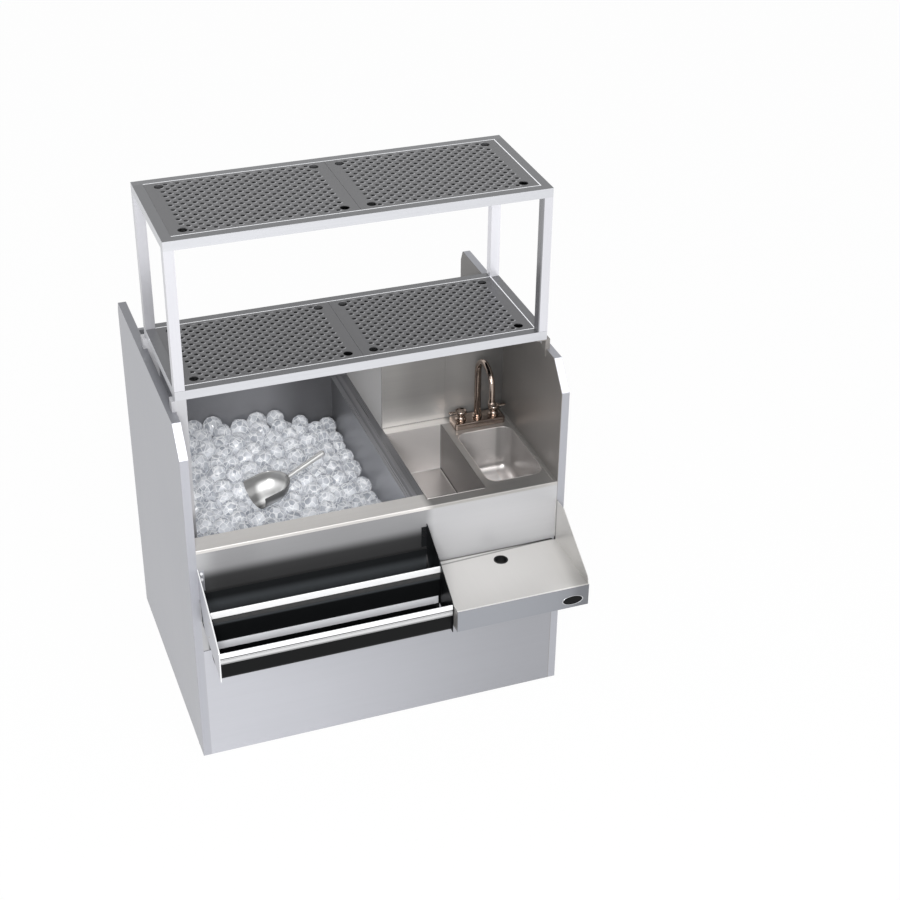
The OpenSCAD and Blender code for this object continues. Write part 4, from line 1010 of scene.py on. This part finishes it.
def scoop_rim():
    """A rolled bead round the bowl's edge: from the mouth along one side, round the back and out again,
    and a finer one round the mouth."""
    out = [(MOUTH_X, -RIM_R), (MOUTH_X / 2, -RIM_R)]
    home = [(MOUTH_X / 2, RIM_R), (MOUTH_X, RIM_R)]
    side = np.concatenate([out, arc((0, 0), RIM_R, -90, 90, 40), home])
    top = tube(np.column_stack([side, np.zeros(len(side))]), 1.7, (0, 0, 1), 12)
    edge = arc((0, 0), RIM_R, 180, 360, 40)
    mouth = tube(np.column_stack([np.full(len(edge), MOUTH_X), edge]), 1.2, (1, 0, 0), 12)
    return join([top, mouth])


def scoop_handle():
    """The handle: a round bar along a straight line that rises 10 degrees from the bowl's back, narrow
    and flattened at its root, wider to its round end; and a strap that spreads over the back."""
    length, end_r, rise = 132, 8.9, math.radians(10)
    close = np.linspace(0.15, np.pi / 2, 8)
    s = np.concatenate([np.linspace(3, length, 26), length + 7.4 * np.sin(close)])
    r = np.interp(s, [3, 18, 60, length], [6.2, 6.6, 8.2, end_r])
    r[-8:] = end_r * np.cos(np.linspace(0.15, np.pi / 2 * 0.97, 8))
    line = np.column_stack([51 + s * math.cos(rise), 0 * s, -12 + s * math.sin(rise)])
    bar = tube(line, r, (0, 1, 0), 28)
    t = np.linspace(0, 1, 12)
    turn = np.radians(-13 - 34 * t)
    over = np.column_stack([STRAP_R * np.cos(turn), 0 * t, STRAP_R * np.sin(turn)])
    flat, faces = tube(over, np.interp(t, [0, 0.5, 1], [7.0, 9.5, 6.0]), (0, 1, 0), 20)
    level = np.linalg.norm(flat, axis=1, keepdims=True)
    flat = flat / level * (57.0 + np.clip(level - STRAP_R, -1, 1) * 0.8)
    return join([bar, (flat, faces)])


def scoop():
    """The whole scoop in its place on the ice."""
    points, faces = join([scoop_shell(), scoop_rim(), scoop_handle()])
    return scoop_frame(points), faces


piece("ice_scoop_bowl", scoop(), "scoop_polish", "ice_scoop", ("scoop",), crease=50)

# studio
FLOOR_HALF, FLOOR_GLOW = 9.0, 0.96  # metres, and the floor's share of plain white
ROOM = 0.60  # the world's light on the object
AIM = (0, 0, 0.7)  # where the lamps point


def studio_floor():
    """A pale floor: white to the camera and in reflections, but a share of it takes shadow."""
    mesh = bpy.data.meshes.new("studio_floor")
    corners = [(x * FLOOR_HALF, y * FLOOR_HALF, 0) for x, y in ((-1, -1), (1, -1), (1, 1), (-1, 1))]
    mesh.from_pydata(corners, [], [(0, 1, 2, 3)])
    floor = add("studio_floor", mesh)
    made = Finish("floor_white", Base_Color=(0.96, 0.96, 0.96, 1), Roughness=0.9, Specular_IOR_Level=0.1)
    glow = made.node("ShaderNodeEmission", None, {"Color": (1, 1, 1, 1), "Strength": 1.0})
    share = seen_rays(made) * FLOOR_GLOW
    lit = Link(made, made.shader.outputs[0])
    mixed = made.node("ShaderNodeMixShader", None, {0: share, 1: lit, 2: glow})
    made.tree.links.new(mixed.socket, made.tree.nodes["Material Output"].inputs[0])
    mesh.materials.append(made.material)


def seen_rays(tree):
    """1 for rays from the camera, in reflections and through glass."""
    out = tree.node("ShaderNodeLightPath").socket.node.outputs
    names = ("Is Camera Ray", "Is Glossy Ray", "Is Transmission Ray")
    seen, glossy, through = [Link(tree, out[name]) for name in names]
    return seen.most(glossy).most(through)


def studio_world():
    """A white world to the rays that seen_rays names, and a plain soft light to all others."""
    world = bpy.data.worlds.new("studio")
    bpy.context.scene.world = world
    world.use_nodes = True
    tree = Tree(world.node_tree)
    room = tree.node("ShaderNodeBackground", None, {"Color": (0.98, 0.99, 1, 1), "Strength": ROOM})
    white = tree.node("ShaderNodeBackground", None, {"Color": (1, 1, 1, 1), "Strength": 1.0})
    mixed = tree.node("ShaderNodeMixShader", None, {0: seen_rays(tree), 1: room, 2: white})
    tree.tree.links.new(mixed.socket, tree.tree.nodes["World Output"].inputs[0])


def lamp(name, spot, size, power):
    """A white square soft lamp at spot that points at AIM."""
    light = bpy.data.lights.new(name, "AREA")
    light.size, light.energy = size, power
    made = add(name, light)
    back = np.array(spot, float) - AIM
    made.matrix_world = Matrix.Translation(spot) @ Matrix([*zip(*upright_axes(back))]).to_4x4()


def upright_axes(back):
    """Right, up and back axes for something that looks against back."""
    back = back / np.linalg.norm(back)
    right = np.cross((0, 0, 1), back)
    right /= np.linalg.norm(right)
    return right, np.cross(back, right), back


studio_floor()
studio_world()
lamp("key", (1.0, -4.3, 5.2), size=2.4, power=60)
lamp("front_fill", (-1.5, -4.4, 2.9), size=1.6, power=190)

VIEW_FROM = (-1.1905, -3.957, 3.3205)
VIEW_TURN, VIEW_TILT, VIEW_ROLL = 20.54, 31.91, 0.76  # degrees
LENS, FILM = 69.57, 36  # millimetres


def camera():
    """The photograph's view, with the turn, tilt, roll, place and lens that were fitted to it."""
    turn, tilt, roll = np.radians((VIEW_TURN, VIEW_TILT, VIEW_ROLL))
    ahead = np.array([math.sin(turn) * math.cos(tilt), math.cos(turn) * math.cos(tilt), -math.sin(tilt)])
    right, up, back = upright_axes(-ahead)
    right, up = math.cos(roll) * right + math.sin(roll) * up, math.cos(roll) * up - math.sin(roll) * right
    data = bpy.data.cameras.new("photo_view")
    data.lens, data.sensor_width, data.clip_end = LENS, FILM, 60
    made = add("photo_view", data)
    made.matrix_world = Matrix.Translation(VIEW_FROM) @ Matrix([*zip(right, up, back)]).to_4x4()
    bpy.context.scene.camera = made


camera()
bpy.context.scene.view_settings.view_transform = "Standard"
